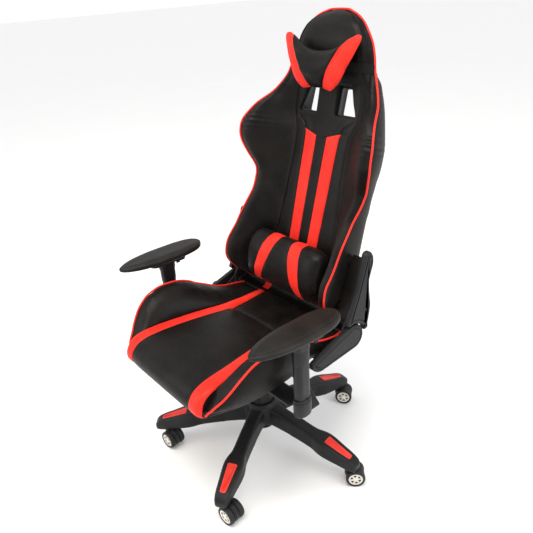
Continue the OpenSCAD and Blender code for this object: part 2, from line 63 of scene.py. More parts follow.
class Shader:
    def __init__(self, name):
        self.material = bpy.data.materials.new(name)
        self.material.use_nodes = True
        self.tree = self.material.node_tree
        self.surface = self.tree.nodes["Principled BSDF"]

    def add(self, kind, settings=None, inputs=None, out=0):
        node = self.tree.nodes.new(kind)
        for key, value in (settings or {}).items():
            if key == "stops":
                while len(node.color_ramp.elements) < len(value):
                    node.color_ramp.elements.new(0.5)
                for element, (position, grey) in zip(node.color_ramp.elements, value):
                    element.position = position
                    element.color = (grey, grey, grey, 1)
            else:
                setattr(node, key, value)
        for key, value in (inputs or {}).items():
            self.plug(node.inputs[key], value)
        return Wire(self, node.outputs[out])

    def plug(self, socket, value):
        if isinstance(value, Wire):
            self.tree.links.new(value.socket, socket)
        elif isinstance(value, (tuple, list)) and len(value) == 3 and socket.type == "RGBA":
            socket.default_value = (*value, 1)
        else:
            socket.default_value = value

    def place(self, scale=(1, 1, 1)):
        spot = self.add("ShaderNodeTexCoord", out="Object")
        return self.add("ShaderNodeMapping", {}, {"Vector": spot, "Scale": scale})

    def noise(self, scale, detail=4, rough=0.55, stretch=(1, 1, 1), warp=0):
        return self.add("ShaderNodeTexNoise", {}, {
            "Vector": self.place(stretch), "Scale": scale, "Detail": detail, "Roughness": rough,
            "Distortion": warp})

    def cells(self, scale):
        return self.add("ShaderNodeTexVoronoi", {"feature": "DISTANCE_TO_EDGE"}, {
            "Vector": self.place(), "Scale": scale})

    def wave(self, direction, scale, warp):
        return self.add("ShaderNodeTexWave", {"bands_direction": direction}, {
            "Vector": self.place(), "Scale": scale, "Distortion": warp})

    def ramp(self, value, *stops):
        return self.add("ShaderNodeValToRGB", {"stops": stops}, {"Fac": value})

    def blend(self, factor, a, b):
        return self.add("ShaderNodeMix", {"data_type": "RGBA"}, {"Factor": factor, "A": a, "B": b}, "Result")

    def bump(self, height, strength, distance, under=None):
        inputs = {"Height": height, "Strength": strength, "Distance": distance}
        if under is not None:
            inputs["Normal"] = under
        return self.add("ShaderNodeBump", {}, inputs)

    def worn(self, sharp):
        # bright on convex edges, for rubbed corners
        point = self.add("ShaderNodeNewGeometry", out="Pointiness")
        return self.ramp(point, (0.5, 0), (sharp, 1))

    def finish(self, **sockets):
        for key, value in sockets.items():
            self.plug(self.surface.inputs[key.replace("_", " ")], value)
        return self.material


def brighter(shade, gain, add):
    return tuple(min(1, c * gain + add) for c in shade)


leatherLook = {"blotch": 14, "mottle": 420, "grain": 900, "pores": 2600, "crease": 38, "rubbed": 0.25,
               "depth": 0.00025, "creaseDepth": 0.0012, "specular": 0.06, "coat": 0.13, "coatRough": 0.3}


def leather(name, deep, light, rough, sheen):
    s = Shader(name)
    blotch = s.noise(leatherLook["blotch"], 5, 0.6)
    fine = s.noise(leatherLook["mottle"], 3, 0.5)
    pebble = s.cells(leatherLook["grain"])
    pore = s.noise(leatherLook["pores"], 2, 0.5)
    crease = s.noise(leatherLook["crease"], 6, 0.62, (1, 1, 0.35), 1.2)
    tone = s.blend(s.ramp(blotch * 0.7 + fine * 0.3, (0.38, 0), (0.66, 1)), deep, light)
    rubbed = s.blend(s.worn(0.58) * leatherLook["rubbed"], tone, brighter(light, 1.8, 0.02))
    height = s.ramp(pebble, (0, 0), (0.16, 1)) * 0.7 + pore * 0.3
    relief = s.bump(height, 0.35, leatherLook["depth"])
    relief = s.bump(s.ramp(crease, (0.46, 0), (0.56, 1)), 0.22, leatherLook["creaseDepth"], relief)
    shine = s.ramp(blotch + fine * 0.3, (0.3, rough - 0.07), (0.9, rough + 0.1))
    return s.finish(Base_Color=rubbed, Roughness=shine, Normal=relief, Sheen_Weight=sheen,
                    Sheen_Roughness=0.4, Specular_IOR_Level=leatherLook["specular"],
                    Coat_Weight=leatherLook["coat"], Coat_Roughness=leatherLook["coatRough"])


plasticLook = {"cloud": 22, "scuff": 90, "rubbed": 0.3, "specular": 0.2}


def plastic(name, deep, light, rough, grain=1500, depth=0.00012):
    s = Shader(name)
    speck = s.noise(grain, 3, 0.6)
    cloud = s.noise(plasticLook["cloud"], 4, 0.6)
    scuff = s.noise(plasticLook["scuff"], 8, 0.7, (1, 1, 4), 2.5)
    tone = s.blend(s.ramp(cloud, (0.35, 0), (0.7, 1)), deep, light)
    tone = s.blend(s.worn(0.56) * plasticLook["rubbed"], tone, brighter(light, 1.9, 0.03))
    shine = s.ramp(scuff, (0.5, rough), (0.68, rough + 0.14))
    return s.finish(Base_Color=tone, Roughness=shine, Normal=s.bump(speck, 0.35, depth),
                    Specular_IOR_Level=plasticLook["specular"])


def metal(name, tint, rough):
    s = Shader(name)
    brush = s.noise(260, 5, 0.7)
    stain = s.noise(30, 5, 0.65)
    tone = s.blend(s.ramp(stain, (0.4, 0), (0.7, 1)), tint, brighter(tint, 0.75, 0))
    shine = s.ramp(brush + stain * 0.4, (0.4, rough), (0.95, rough + 0.2))
    return s.finish(Base_Color=tone, Metallic=1.0, Roughness=shine, Normal=s.bump(brush, 0.15, 0.0001))


def woven(name, deep, light):
    s = Shader(name)
    weave = s.wave("X", 260, 0.6) * s.wave("Z", 320, 0.6)
    tone = s.blend(s.ramp(weave, (0.1, 0), (0.7, 1)), deep, light)
    return s.finish(Base_Color=tone, Roughness=0.82, Normal=s.bump(weave, 0.6, 0.0005), Sheen_Weight=0.05,
                    Specular_IOR_Level=0.2)


def plywood(name, deep, light):
    s = Shader(name)
    grain = s.noise(9, 8, 0.65, (14, 1, 1), 1.5)
    tone = s.blend(s.ramp(grain + s.wave("Z", 130, 0.5) * 0.25, (0.4, 0), (0.8, 1)), deep, light)
    return s.finish(Base_Color=tone, Roughness=0.72, Normal=s.bump(grain, 0.3, 0.0004))


# name, kind, darker and lighter tone, roughness, then a leather's sheen or a plastic's grain and its depth
finishes = {name: make(name, *look) for name, make, *look in (
    ("blackLeather", leather, (0.0027, 0.0022, 0.0019), (0.009, 0.0073, 0.0062), 0.4, 0.02),
    ("redLeather", leather, (0.64, 0.018, 0.01), (0.84, 0.032, 0.019), 0.46, 0.03),
    ("redPiping", leather, (0.68, 0.016, 0.01), (0.86, 0.03, 0.018), 0.36, 0.02),
    ("padSkin", plastic, (0.006, 0.0051, 0.0042), (0.014, 0.0118, 0.0095), 0.44, 1100, 0.0002),
    ("blackPlastic", plastic, (0.0042, 0.0045, 0.005), (0.0105, 0.0112, 0.0122), 0.42),
    ("coverPlastic", plastic, (0.004, 0.0044, 0.0048), (0.0095, 0.0102, 0.011), 0.38),
    ("redPlastic", plastic, (0.6, 0.022, 0.014), (0.8, 0.042, 0.028), 0.42, 1200, 0.0001),
    ("discPlastic", plastic, (0.56, 0.52, 0.45), (0.74, 0.7, 0.62), 0.34, 900, 0.00006),
    ("tyreRubber", plastic, (0.006, 0.0062, 0.0066), (0.015, 0.0154, 0.0162), 0.5),
    ("powderSteel", plastic, (0.0065, 0.0066, 0.007), (0.015, 0.0152, 0.016), 0.4, 700, 0.0003),
    ("zinc", metal, (0.62, 0.63, 0.64), 0.24),
    ("webbing", woven, (0.0022, 0.0022, 0.0022), (0.008, 0.008, 0.0085)),
    ("thread", plastic, (0.012, 0.011, 0.01), (0.03, 0.027, 0.025), 0.6, 3000, 0.0002),
    ("plywood", plywood, (0.36, 0.22, 0.11), (0.62, 0.44, 0.26)))}
print("finishes made")


def smoothTable(rows):
    # a curve through rows of (key, values...), smooth and without overshoot
    rows = np.array(rows, float)
    x, y = rows[:, 0], rows[:, 1:]
    step = np.diff(x)
    slope = np.diff(y, axis=0) / step[:, None]
    tangent = np.zeros_like(y)
    for i in range(1, len(x) - 1):
        same = slope[i - 1] * slope[i] > 0
        w1, w2 = 2 * step[i] + step[i - 1], step[i] + 2 * step[i - 1]
        safe = np.where(same, slope[i - 1], 1), np.where(same, slope[i], 1)
        tangent[i] = np.where(same, (w1 + w2) / (w1 / safe[0] + w2 / safe[1]), 0)
    tangent[0], tangent[-1] = slope[0], slope[-1]

    def value(key):
        key = min(max(key, x[0]), x[-1])
        i = min(int(np.searchsorted(x, key, side="right")) - 1, len(x) - 2)
        h = step[i]
        t = (key - x[i]) / h
        got = ((1 + 2 * t) * (1 - t) ** 2 * y[i] + t * (1 - t) ** 2 * h * tangent[i]
               + t * t * (3 - 2 * t) * y[i + 1] + t * t * (t - 1) * h * tangent[i + 1])
        return got if len(got) > 1 else float(got[0])
    return value


def throughPoints(points, count, closed=False):
    # evenly spaced points on a smooth curve through the given ones
    p = np.array(points, float)
    n = len(p)
    fine = []
    for i in range(n if closed else n - 1):
        a, b, c, d = (p[(i + k) % n] if closed else p[min(max(i + k, 0), n - 1)] for k in (-1, 0, 1, 2))
        for t in np.linspace(0, 1, 16, endpoint=False):
            fine.append(0.5 * (2 * b + (c - a) * t + (2 * a - 5 * b + 4 * c - d) * t * t
                               + (3 * b - a - 3 * c + d) * t ** 3))
    fine.append(p[0] if closed else p[-1])
    fine = np.array(fine)
    run = lengthsAlong(fine)
    wanted = np.linspace(0, run[-1], count + 1)[:-1] if closed else np.linspace(0, run[-1], count)
    return np.stack([np.interp(wanted, run, fine[:, k]) for k in range(fine.shape[1])], 1)


def lengthsAlong(points):
    return np.concatenate([[0], np.cumsum(np.linalg.norm(np.diff(points, axis=0), axis=1))])


def outwards(loop, way):
    # from the directions along a closed outline, the directions out of it
    area = 0.5 * np.sum(loop[:, 0] * np.roll(loop[:, 1], -1) - np.roll(loop[:, 0], -1) * loop[:, 1])
    return np.stack([way[:, 1], -way[:, 0]], 1) * (1 if area > 0 else -1)


def ease(t):
    # from 0 to 1, slow at both ends
    return t * t * (3 - 2 * t)


def within(value):
    return min(1, max(0, value))


def signedPower(value, power):
    return math.copysign(abs(value) ** power, value)


def makePiece(name, verts, faces, body, looks, slotName=None, faceLook=None, replaced=(), smooth=True):
    # verts in millimetres
    mesh = bpy.data.meshes.new(name)
    mesh.from_pydata([tuple(float(c) * mm for c in v) for v in verts], [], [tuple(f) for f in faces])
    for look in ([looks] if isinstance(looks, str) else looks):
        mesh.materials.append(finishes[look])
    if faceLook is not None:
        mesh.polygons.foreach_set("material_index", faceLook)
    mesh.validate()
    bm = bmesh.new()
    bm.from_mesh(mesh)
    bmesh.ops.recalc_face_normals(bm, faces=bm.faces)
    bm.to_mesh(mesh)
    bm.free()
    mesh.polygons.foreach_set("use_smooth", [smooth] * len(mesh.polygons))
    piece = bpy.data.objects.new(name, mesh)
    bpy.context.scene.collection.objects.link(piece)
    if body:
        settle(piece, body, slotName, replaced)
    return piece


def settle(piece, body, slotName=None, replaced=()):
    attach(piece, body)
    if replaced:
        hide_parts(*replaced)


def rings(rows, caps=True):
    # quads between rows of points, each row a ring; the ends are closed by one face each
    n, count = len(rows[0]), len(rows)
    verts = [v for row in rows for v in row]
    faces = []
    for i in range(count - 1):
        for j in range(n):
            k = (j + 1) % n
            faces.append((i * n + j, i * n + k, (i + 1) * n + k, (i + 1) * n + j))
    if caps:
        faces.append(tuple(reversed(range(n))))
        faces.append(tuple(range((count - 1) * n, count * n)))
    return verts, faces


def addModifier(piece, kind, **settings):
    modifier = piece.modifiers.new(kind.title(), kind)
    for key, value in settings.items():
        setattr(modifier, key, value)
    return modifier


def applyAll(piece):
    graph = bpy.context.evaluated_depsgraph_get()
    graph.update()
    made = bpy.data.meshes.new_from_object(piece.evaluated_get(graph))
    piece.modifiers.clear()
    piece.data = made


def bevelled(piece, width, angle, segments=2, harden=True):
    addModifier(piece, "BEVEL", width=width * mm, segments=segments, limit_method="ANGLE",
                angle_limit=math.radians(angle), harden_normals=harden)
    applyAll(piece)


def subdivided(piece):
    addModifier(piece, "SUBSURF", levels=1, render_levels=1)
    applyAll(piece)


pipingLook = {"backRadius": 2.8, "seatRadius": 2.9, "sides": 9}


def pipingAlong(name, points, radius, body):
    p = np.array(points, float)
    rows, n = [], len(p)
    normal = None
    for i in range(n):
        a, b = p[max(i - 1, 0)], p[min(i + 1, n - 1)]
        way = (b - a) / np.linalg.norm(b - a)
        if normal is None:
            normal = np.cross(way, [0.3, 0.2, 1.0])
        normal = normal - way * np.dot(normal, way)
        normal /= np.linalg.norm(normal)
        side = np.cross(way, normal)
        rows.append([p[i] + radius * (math.cos(t) * normal + math.sin(t) * side)
                     for t in np.linspace(0, 2 * math.pi, pipingLook["sides"], endpoint=False)])
    makePiece(name, *rings(rows), body, "redPiping")


threadLook = {"length": 3.2, "gap": 1.6, "radius": 0.45, "sides": 5, "sink": -0.3, "lift": 0.35}


def stitching(name, path, ups, body):
    # a row of short threads along a path; ups is the surface's direction at each point
    p, u = np.array(path, float), np.array(ups, float)
    run = lengthsAlong(p)
    length, gap, radius, sides = (threadLook[k] for k in ("length", "gap", "radius", "sides"))
    end = (threadLook["sink"], radius * 0.5)
    heights = (end, (threadLook["lift"], radius), end)
    verts, faces = [], []
    at = gap
    while at + length < run[-1]:
        spots = [np.array([np.interp(at + length * t, run, p[:, k]) for k in range(3)]) for t in (0, 0.5, 1)]
        up = np.array([np.interp(at, run, u[:, k]) for k in range(3)])
        up /= np.linalg.norm(up) + 1e-9
        way = spots[2] - spots[0]
        way /= np.linalg.norm(way) + 1e-9
        side = np.cross(way, up)
        base = len(verts)
        for spot, (lift, r) in zip(spots, heights):
            for t in range(sides):
                turn = 2 * math.pi * t / sides
                verts.append(spot + up * lift + r * (math.cos(turn) * side + math.sin(turn) * up))
        for ring in range(2):
            for t in range(sides):
                a, b = base + ring * sides + t, base + ring * sides + (t + 1) % sides
                faces.append((a, b, b + sides, a + sides))
        faces.append(tuple(base + t for t in reversed(range(sides))))
        faces.append(tuple(base + 2 * sides + t for t in range(sides)))
        at += length + gap
    makePiece(name, verts, faces, body, "thread")


def sewn(name, piece, spots, body):
    # stitches laid on a finished surface: each spot is dropped onto it from above
    tree = BVHTree.FromObject(piece, bpy.context.evaluated_depsgraph_get())
    down = Vector((0, 0, -1))
    path, ups = [], []
    for spot in spots:
        hit = tree.ray_cast(Vector(spot) * mm - down * 0.06, down)[0]
        if hit is not None:
            path.append(np.array(hit) / mm)
            ups.append(-np.array(down))
    stitching(name, path, ups, body)


def puckers(piece, amount, size, seams=(), reach=16, even=0.25):
    # fabric pulls into short creases beside its seams
    mesh = piece.data
    lines = [np.array(s, float) * mm for s in seams]
    for v in mesh.vertices:
        near = min((np.linalg.norm(line - np.array(v.co), axis=1).min() for line in lines), default=1.0)
        pull = even + (1 - even) * math.exp(-((near / (reach * mm)) ** 2))
        spot = v.co / (size * mm)
        push = noise.noise(spot) + 0.6 * noise.noise(spot * 2.3) + 0.3 * noise.noise(spot * 4.9)
        v.co += v.normal * (amount * mm * pull * push)


stuffing = {"frames": 20, "quality": 6, "mass": 0.3, "stretch": 12, "bending": 0.6}


def plump(piece, pressure, cap, pinned):
    # fills the piece like a stuffed cover, and holds each point within cap millimetres
    before = np.array([v.co for v in piece.data.vertices])
    cloth = addModifier(piece, "CLOTH").settings
    cloth.use_pressure = True
    cloth.uniform_pressure_force = pressure
    cloth.effector_weights.gravity = 0
    cloth.quality = stuffing["quality"]
    cloth.mass = stuffing["mass"]
    cloth.tension_stiffness = cloth.compression_stiffness = stuffing["stretch"]
    cloth.bending_stiffness = stuffing["bending"]
    group = piece.vertex_groups.new(name="held")
    for index, weight in pinned:
        group.add([index], weight, "REPLACE")
    cloth.vertex_group_mass = "held"
    scene = bpy.context.scene
    for f in range(1, stuffing["frames"] + 1):
        scene.frame_set(f)
    graph = bpy.context.evaluated_depsgraph_get()
    after = np.array([v.co for v in piece.evaluated_get(graph).data.vertices])
    piece.modifiers.clear()
    scene.frame_set(1)
    move = after - before
    size = np.linalg.norm(move, axis=1, keepdims=True) + 1e-12
    limit = cap * mm
    move *= np.minimum(1, limit * np.tanh(size / limit) / size)
    for v, step in zip(piece.data.vertices, move):
        v.co += Vector(step)


def dress(names, look, width=0.6, segments=2):
    # a CAD node keeps its shape, and gets its finish and softly broken edges
    for name in names:
        node = nodes[name]
        for slot in node.material_slots:
            slot.material = finishes[look]
        if not node.material_slots:
            node.data.materials.append(finishes[look])
        addModifier(node, "WELD", merge_threshold=0.00002)
        addModifier(node, "BEVEL", width=width * mm, segments=segments, limit_method="ANGLE",
                    angle_limit=math.radians(38), harden_normals=True, use_clamp_overlap=True)
        node.data.polygons.foreach_set("use_smooth", [True] * len(node.data.polygons))


print("helpers ready")


# the star: arm angles and reach, then the hub's and the socket's outlines as (height, radius)
base = {"arms": 5, "firstArm": 11.4, "step": 72, "from": 30, "tip": 342, "stem": 310, "round": 6.5,
        "voxel": 2.4,
        "hub": [(94, 25.4), (94, 44), (98, 52), (152, 52), (160, 50.5), (166, 47), (170, 44), (170, 40.5),
                (167.5, 39.5), (167.5, 25.4)],
        "socket": [(72, 25.4), (72, 36), (76, 38), (96, 38), (96, 25.4)]}
# arm sections as radius, half width, top, bottom
armSections = smoothTable([
    (30, 25, 160, 94), (75, 22, 152, 91), (150, 20.5, 138, 84), (195, 21.5, 128.5, 78),
    (222, 27, 126, 74), (240, 29, 122.5, 72), (290, 25, 106.5, 65), (325, 21, 95, 60.5),
    (337, 18.5, 88, 60.5), (342, 16.5, 83, 61)])


def turned(angle, x, y, z):
    c, s = math.cos(math.radians(angle)), math.sin(math.radians(angle))
    return (x * c - y * s, x * s + y * c, z)


def armSection(place, half, top, bottom, r, n=4):
    # a cross-section with rounded corners
    out = []
    corners = ((half - r, top - r, 0), (-half + r, top - r, 90), (-half + r, bottom + r, 180),
               (half - r, bottom + r, 270))
    for cx, cz, start in corners:
        for k in range(n + 1):
            t = math.radians(start + 90 * k / n)
            out.append(place(cx + r * math.cos(t), cz + r * math.sin(t)))
    return out


def revolved(profile, place, steps=48):
    # profile of (along, radius) pairs, closed, turned about place's x axis
    rows = []
    for k in range(steps):
        t = 2 * math.pi * k / steps
        rows.append([place(a, r * math.cos(t), r * math.sin(t)) for a, r in profile])
    rows.append(rows[0])
    verts, faces = rings(rows, caps=False)
    n = len(profile) * steps
    return verts[:n], [tuple(v % n for v in f) for f in faces]


def joinParts(parts):
    verts, faces = [], []
    for v, f in parts:
        faces += [tuple(k + len(verts) for k in face) for face in f]
        verts += list(v)
    return verts, faces


def makeStar():
    parts = [revolved(base[part], lambda a, y, z: (y, z, a), 64) for part in ("hub", "socket")]
    for arm in range(base["arms"]):
        angle = base["firstArm"] + base["step"] * arm
        rows = []
        for r in np.linspace(base["from"], base["tip"], 66):
            half, top, bottom = armSections(r)
            rows.append(armSection(lambda side, h: turned(angle, r, side, h), half, top, bottom,
                                   min(base["round"], half * 0.3)))
        half, top, bottom = armSections(base["tip"])
        rows.append(armSection(lambda side, h: turned(angle, base["tip"] + 2, side, h),
                               half - 4, top - 4, bottom + 4, 5))
        parts.append(rings(rows))
    star = makePiece("star_body", *joinParts(parts), None, "blackPlastic")
    addModifier(star, "REMESH", mode="VOXEL", voxel_size=base["voxel"] * mm, use_smooth_shade=True)
    applyAll(star)
    bm = bmesh.new()
    bm.from_mesh(star.data)
    # the webs between hub and arms are smoothed most
    webs = [v for v in bm.verts if 46 < math.hypot(v.co.x, v.co.y) / mm < 122 and v.co.z < 0.158]
    for verts, times in ((webs, 14), (bm.verts, 2)):
        for _ in range(times):
            bmesh.ops.smooth_vert(bm, verts=verts, factor=0.5,
                                  use_axis_x=True, use_axis_y=True, use_axis_z=True)
    bm.to_mesh(star.data)
    bm.free()
    star.data.materials.clear()
    star.data.materials.append(finishes["blackPlastic"])
    star.data.polygons.foreach_set("use_smooth", [True] * len(star.data.polygons))
    settle(star, "base", "base_plastic", ["star_base"])


def roundCorners(corners, radius, n=5):
    # a closed outline whose corners are rounded
    p = np.array(corners, float)
    out = []
    for i in range(len(p)):
        a, b, c = p[i - 1], p[i], p[(i + 1) % len(p)]
        la, lc = np.linalg.norm(a - b), np.linalg.norm(c - b)
        r = min(radius, la * 0.45, lc * 0.45)
        start, end = b + (a - b) / la * r, b + (c - b) / lc * r
        for t in np.linspace(0, 1, n + 1):
            out.append((1 - t) ** 2 * start + 2 * t * (1 - t) * b + t * t * end)
    return np.array(out)


def grown(outline, amount):
    # the outline moved outwards, or inwards if amount is below 0
    p = np.array(outline, float)
    way = np.roll(p, -1, axis=0) - np.roll(p, 1, axis=0)
    way /= np.linalg.norm(way, axis=1, keepdims=True) + 1e-9
    return p + outwards(p, way) * amount


def plate(outline, steps, place):
    # a solid from one outline: steps are (inset, height) pairs from the back to the front
    return rings([[place(a, b, height) for a, b in grown(outline, -inset)] for inset, height in steps])


inlayLook = {"corners": [(240, -14.6), (321, -9), (321, 9), (240, 14.6)], "round": 5, "height": 124,
             "from": 238, "slope": (95 - 124) / (325 - 238),
             "steps": [(0.2, -2.6), (0, -0.6), (0.1, 0.4), (0.9, 1.0), (3.4, 1.1), (4.2, 0.7)]}


def makeInlays():
    outline = roundCorners(inlayLook["corners"], inlayLook["round"], 6)
    parts = []
    for arm in range(base["arms"]):
        angle = base["firstArm"] + base["step"] * arm
        parts.append(plate(outline, inlayLook["steps"], lambda r, side, h: turned(
            angle, r, side, inlayLook["height"] + inlayLook["slope"] * (r - inlayLook["from"]) + h)))
    makePiece("arm_inlay_plates", *joinParts(parts), "base", "redPlastic", "red_plastic",
              replaced=["arm_inlays"])


# hood and stem boss as (along, radius), the web between them side on; inner is a wheel's inner face
casterLook = {"turns": (-43, -51.6, 62, -84.7, -85), "trail": 22, "radius": 28, "inner": 9.3,
              "hood": [(-8, 4.1), (-8, 24.5), (-7, 26.6), (-5.4, 26.9), (-4.6, 25.7), (-3.4, 25.7),
                       (-2.6, 27), (2.6, 27), (3.4, 25.7), (4.6, 25.7), (5.4, 26.9), (7, 26.6), (8, 24.5),
                       (8, 4.1)],
              "boss": [(30, 5.7), (30, 8.2), (56.4, 8.4), (56.8, 10.6), (59, 10.9), (59.1, 5.7)],
              "web": [(-8, 34), (14, 30), (18, 46), (8, 55.6), (-8, 55.6)],
              "webSteps": [(1.4, -7.4), (0, -6.2), (0, 6.2), (1.4, 7.4)],
              "tyre": [(0, 4.3), (0, 22.5), (0.8, 26), (2.6, 27.7), (5, 28), (11, 28), (13.6, 27.6),
                       (15.6, 26.2), (16.5, 24), (16.5, 22.3), (15.4, 21.3), (14, 21), (13.4, 20.6),
                       (13.4, 4.3)],
              "disc": 13.5, "discThick": 2.2}


def makeCaster(i):
    sx, sy, _ = turned(base["firstArm"] + base["step"] * i, base["stem"], 0, 0)
    inner, name = casterLook["inner"], str(i + 1)

    def place(x, y, z):
        px, py, pz = turned(casterLook["turns"][i], x, y, z)
        return (px + sx, py + sy, pz)

    def onAxle(a, y, z):
        return place(a, casterLook["trail"] + y, casterLook["radius"] + z)
    parts = [revolved(casterLook["hood"], onAxle, 56),
             revolved(casterLook["boss"], lambda a, y, z: place(y, z, a), 32),
             plate(roundCorners(casterLook["web"], 5), casterLook["webSteps"],
                   lambda y, z, x: place(x, y, z))]
    makePiece("caster_hood_" + name, *joinParts(parts), "caster_" + name, "blackPlastic", "caster_plastic",
              replaced=["caster_frame_" + name])
    treads, discs = [], []
    for side in (-1, 1):
        treads.append(revolved([(side * (inner + a), r) for a, r in casterLook["tyre"]], onAxle, 56))
        discs.append(sixHoleDisc(side * (inner + casterLook["disc"]), side * casterLook["discThick"], onAxle))
    wheel = makePiece("caster_tyres_" + name, *joinParts(treads), "wheels_" + name, "tyreRubber",
                      "wheel_tyre", replaced=["caster_wheels_" + name])
    bevelled(wheel, 0.3, 50, 1, False)
    disc = makePiece("caster_discs_" + name, *joinParts(discs), "wheels_" + name, "discPlastic")
    bevelled(disc, 0.35, 40)


# the disc's rings as (radius, how far they stand out); openings by ring, among each sixth's ten steps
discLook = {"rings": [(0.01, 1.0), (3.2, 1.0), (4.4, 0.7), (7.6, 0.55), (9.4, 0.5), (12.6, 0.5), (15.4, 0.55),
                      (17.4, 0.8), (19.6, 0.85), (20.7, 0.4)],
            "around": 60, "openings": {4: range(4, 9), 5: range(3, 10), 3: range(5, 8)}}


def sixHoleDisc(start, thick, place):
    # a wheel disc: rim, six openings between broad spokes, and a raised middle
    around, layers = discLook["around"], len(discLook["rings"])
    shift = layers * around
    verts = []
    for stand in (thick, 0):
        for r, h in discLook["rings"]:
            for k in range(around):
                t = 2 * math.pi * k / around
                verts.append(place(start + stand * h, r * math.cos(t), r * math.sin(t)))

    def solid(ring, k):
        return k % 10 not in discLook["openings"].get(ring, ())
    faces = []
    for ring in range(layers - 1):
        for k in range(around):
            if not solid(ring, k):
                continue
            n = (k + 1) % around
            a, b = ring * around + k, ring * around + n
            c, d = b + around, a + around
            faces += [(a, b, c, d), (d + shift, c + shift, b + shift, a + shift)]
            walls = ((not solid(ring, n), b, c), (not solid(ring, (k - 1) % around), d, a),
                     (ring + 1 == layers - 1 or not solid(ring + 1, k), c, d),
                     (ring > 0 and not solid(ring - 1, k), a, b))
            faces += [(p, q, q + shift, p + shift) for bare, p, q in walls if bare]
    faces.append(tuple(range(around)))
    faces.append(tuple(k + shift for k in range(around)))
    return verts, faces


makeStar()
makeInlays()
for i in range(base["arms"]):
    makeCaster(i)
# CAD nodes that keep their shape: finish and how far their edges are broken
for look, edge, names in (
        ("powderSteel", 0.8, ("lift_tube", "mech_housing", "seat_plate", "lever_rod", "arm_brackets",
                              "recliner_plates", "recliner_pins", "back_uprights", "back_crossbars")),
        ("zinc", 0.3, ("thrust_bearing", "lift_rod", "gas_cylinder", "tilt_pin", "tilt_spring", "seat_bolts",
                       "caster_pins_1", "caster_pins_2", "caster_pins_3", "caster_pins_4", "caster_pins_5")),
        ("blackPlastic", 0.7, ("dust_sleeve_lower", "dust_sleeve_middle", "dust_sleeve_upper")),
        ("blackPlastic", 0.8, ("tension_knob", "lever_bush", "lever_paddle", "recline_lever")),
        ("plywood", 0.6, ("seat_board",))):
    dress(names, look, edge)
print("base and mechanism made")


# flare and collar as half width, half length and height; line is the moulded line in from the pad's edge
arms = {"x": 294, "y": -98, "raise": {"left": 0, "right": 10}, "line": 9, "lineDepth": 1.3, "dish": 1.2,
        "flare": [(15.2, 22.2, 505), (15.8, 23.4, 512), (16, 24, 545), (16.8, 26, 560), (18.6, 31, 569),
                  (20.4, 37, 573.5), (21, 39, 576), (21, 39, 581)],
        "collar": [(13.5, 21, 347), (16, 24, 348.5), (17, 25.2, 352), (17.4, 25.6, 384), (17.2, 25.4, 393),
                   (16, 24, 394.5), (16, 24, 396), (17, 25.2, 397.2), (17, 25.2, 399.4), (16, 24, 400)]}
# half width, crown and underside along the pad, from its front tip to its back
padShape = smoothTable([
    (-252, 1.5, 597, 592), (-249, 8, 599, 589.5), (-240, 15.5, 601, 587), (-220, 26.5, 603.6, 584.5),
    (-180, 37.5, 605.8, 581.5), (-120, 44, 606.4, 579.5), (-60, 44, 606.2, 579), (-20, 40, 605.4, 580.2),
    (10, 29, 604, 583), (20, 19, 602.6, 585.6), (26, 9, 600.4, 589), (28, 2, 597, 592)])


def ovals(side, table, lift=0):
    # a solid of oval rings round the arm's post
    rows = []
    for rx, ry, z in table:
        ring = []
        for k in range(40):
            t = 2 * math.pi * k / 40
            ring.append((side * (arms["x"] + rx * signedPower(math.cos(t), 2 / 2.4)),
                         arms["y"] + ry * signedPower(math.sin(t), 2 / 2.4), z + lift))
        rows.append(ring)
    return rings(rows)


def makePad(name, side, lift):
    rows = []
    for y in [-252, -251, -249, -245] + list(np.linspace(-239, 10, 56)) + [15, 20, 24, 27, 28]:
        half, top, bottom = padShape(y)
        row = []
        for k in range(44):
            t = 2 * math.pi * k / 44
            c, s = math.cos(t), math.sin(t)
            x = half * signedPower(c, 0.62)
            z = (top + bottom) / 2 + (top - bottom) / 2 * signedPower(s, 0.6 if s < 0 else 0.74)
            if s > 0 and half > 14:
                line = (abs(x) - (half - arms["line"])) / 2.2
                z -= arms["lineDepth"] * math.exp(-line * line)
            if s > 0 and half > 20:
                z -= arms["dish"] * max(0, 1 - (abs(x) / (half - 14)) ** 2)
            row.append((side * (arms["x"] + x), y, z + lift))
        rows.append(row)
    pad = makePiece(name, *rings(rows), None, "padSkin")
    subdivided(pad)
    puckers(pad, 0.25, 26)
    return pad


for word, side in (("left", 1), ("right", -1)):
    lift = arms["raise"][word]
    body = "arm_" + word
    pad = makePad("arm_cushion_" + word, side, lift)
    settle(pad, body, "pad_foam", ["arm_pad_" + word])
    # the sleeve's top spreads out to carry the pad
    flare = makePiece("arm_flare_" + word, *ovals(side, arms["flare"], lift), body, "coverPlastic")
    bevelled(flare, 0.8, 40)
    dress(["arm_sleeve_" + word], "coverPlastic", 1.2, 3)
    dress(["arm_trigger_" + word], "blackPlastic", 1.0)
makePiece("arm_collar_sleeves", *joinParts([ovals(side, arms["collar"]) for side in (-1, 1)]), "seat",
          "coverPlastic", "cover_plastic", replaced=["arm_collars"])
print("armrests made")


# the hinge's axis, how far out the covers' faces stand, and a screw's head as (along, radius)
hinge = {"y": 132, "z": 450, "inner": 246, "outer": 262,
         "screwHead": [(-2, 0.01), (-2, 5.2), (0.3, 5.2), (0.9, 4.6), (1.1, 2.6), (0.1, 2.2), (-0.6, 0.01)],
         "lowScrews": [(55, 431)], "highScrews": [(174, 520), (192, 664)]}


def arc(radius, start, end, n):
    return [(hinge["y"] + radius * math.cos(math.radians(a)), hinge["z"] + radius * math.sin(math.radians(a)))
            for a in np.linspace(start, end, n)]


def onBothSides(outline, steps):
    return joinParts([plate(outline, steps, lambda y, z, h: (side * h, y, z)) for side in (-1, 1)])


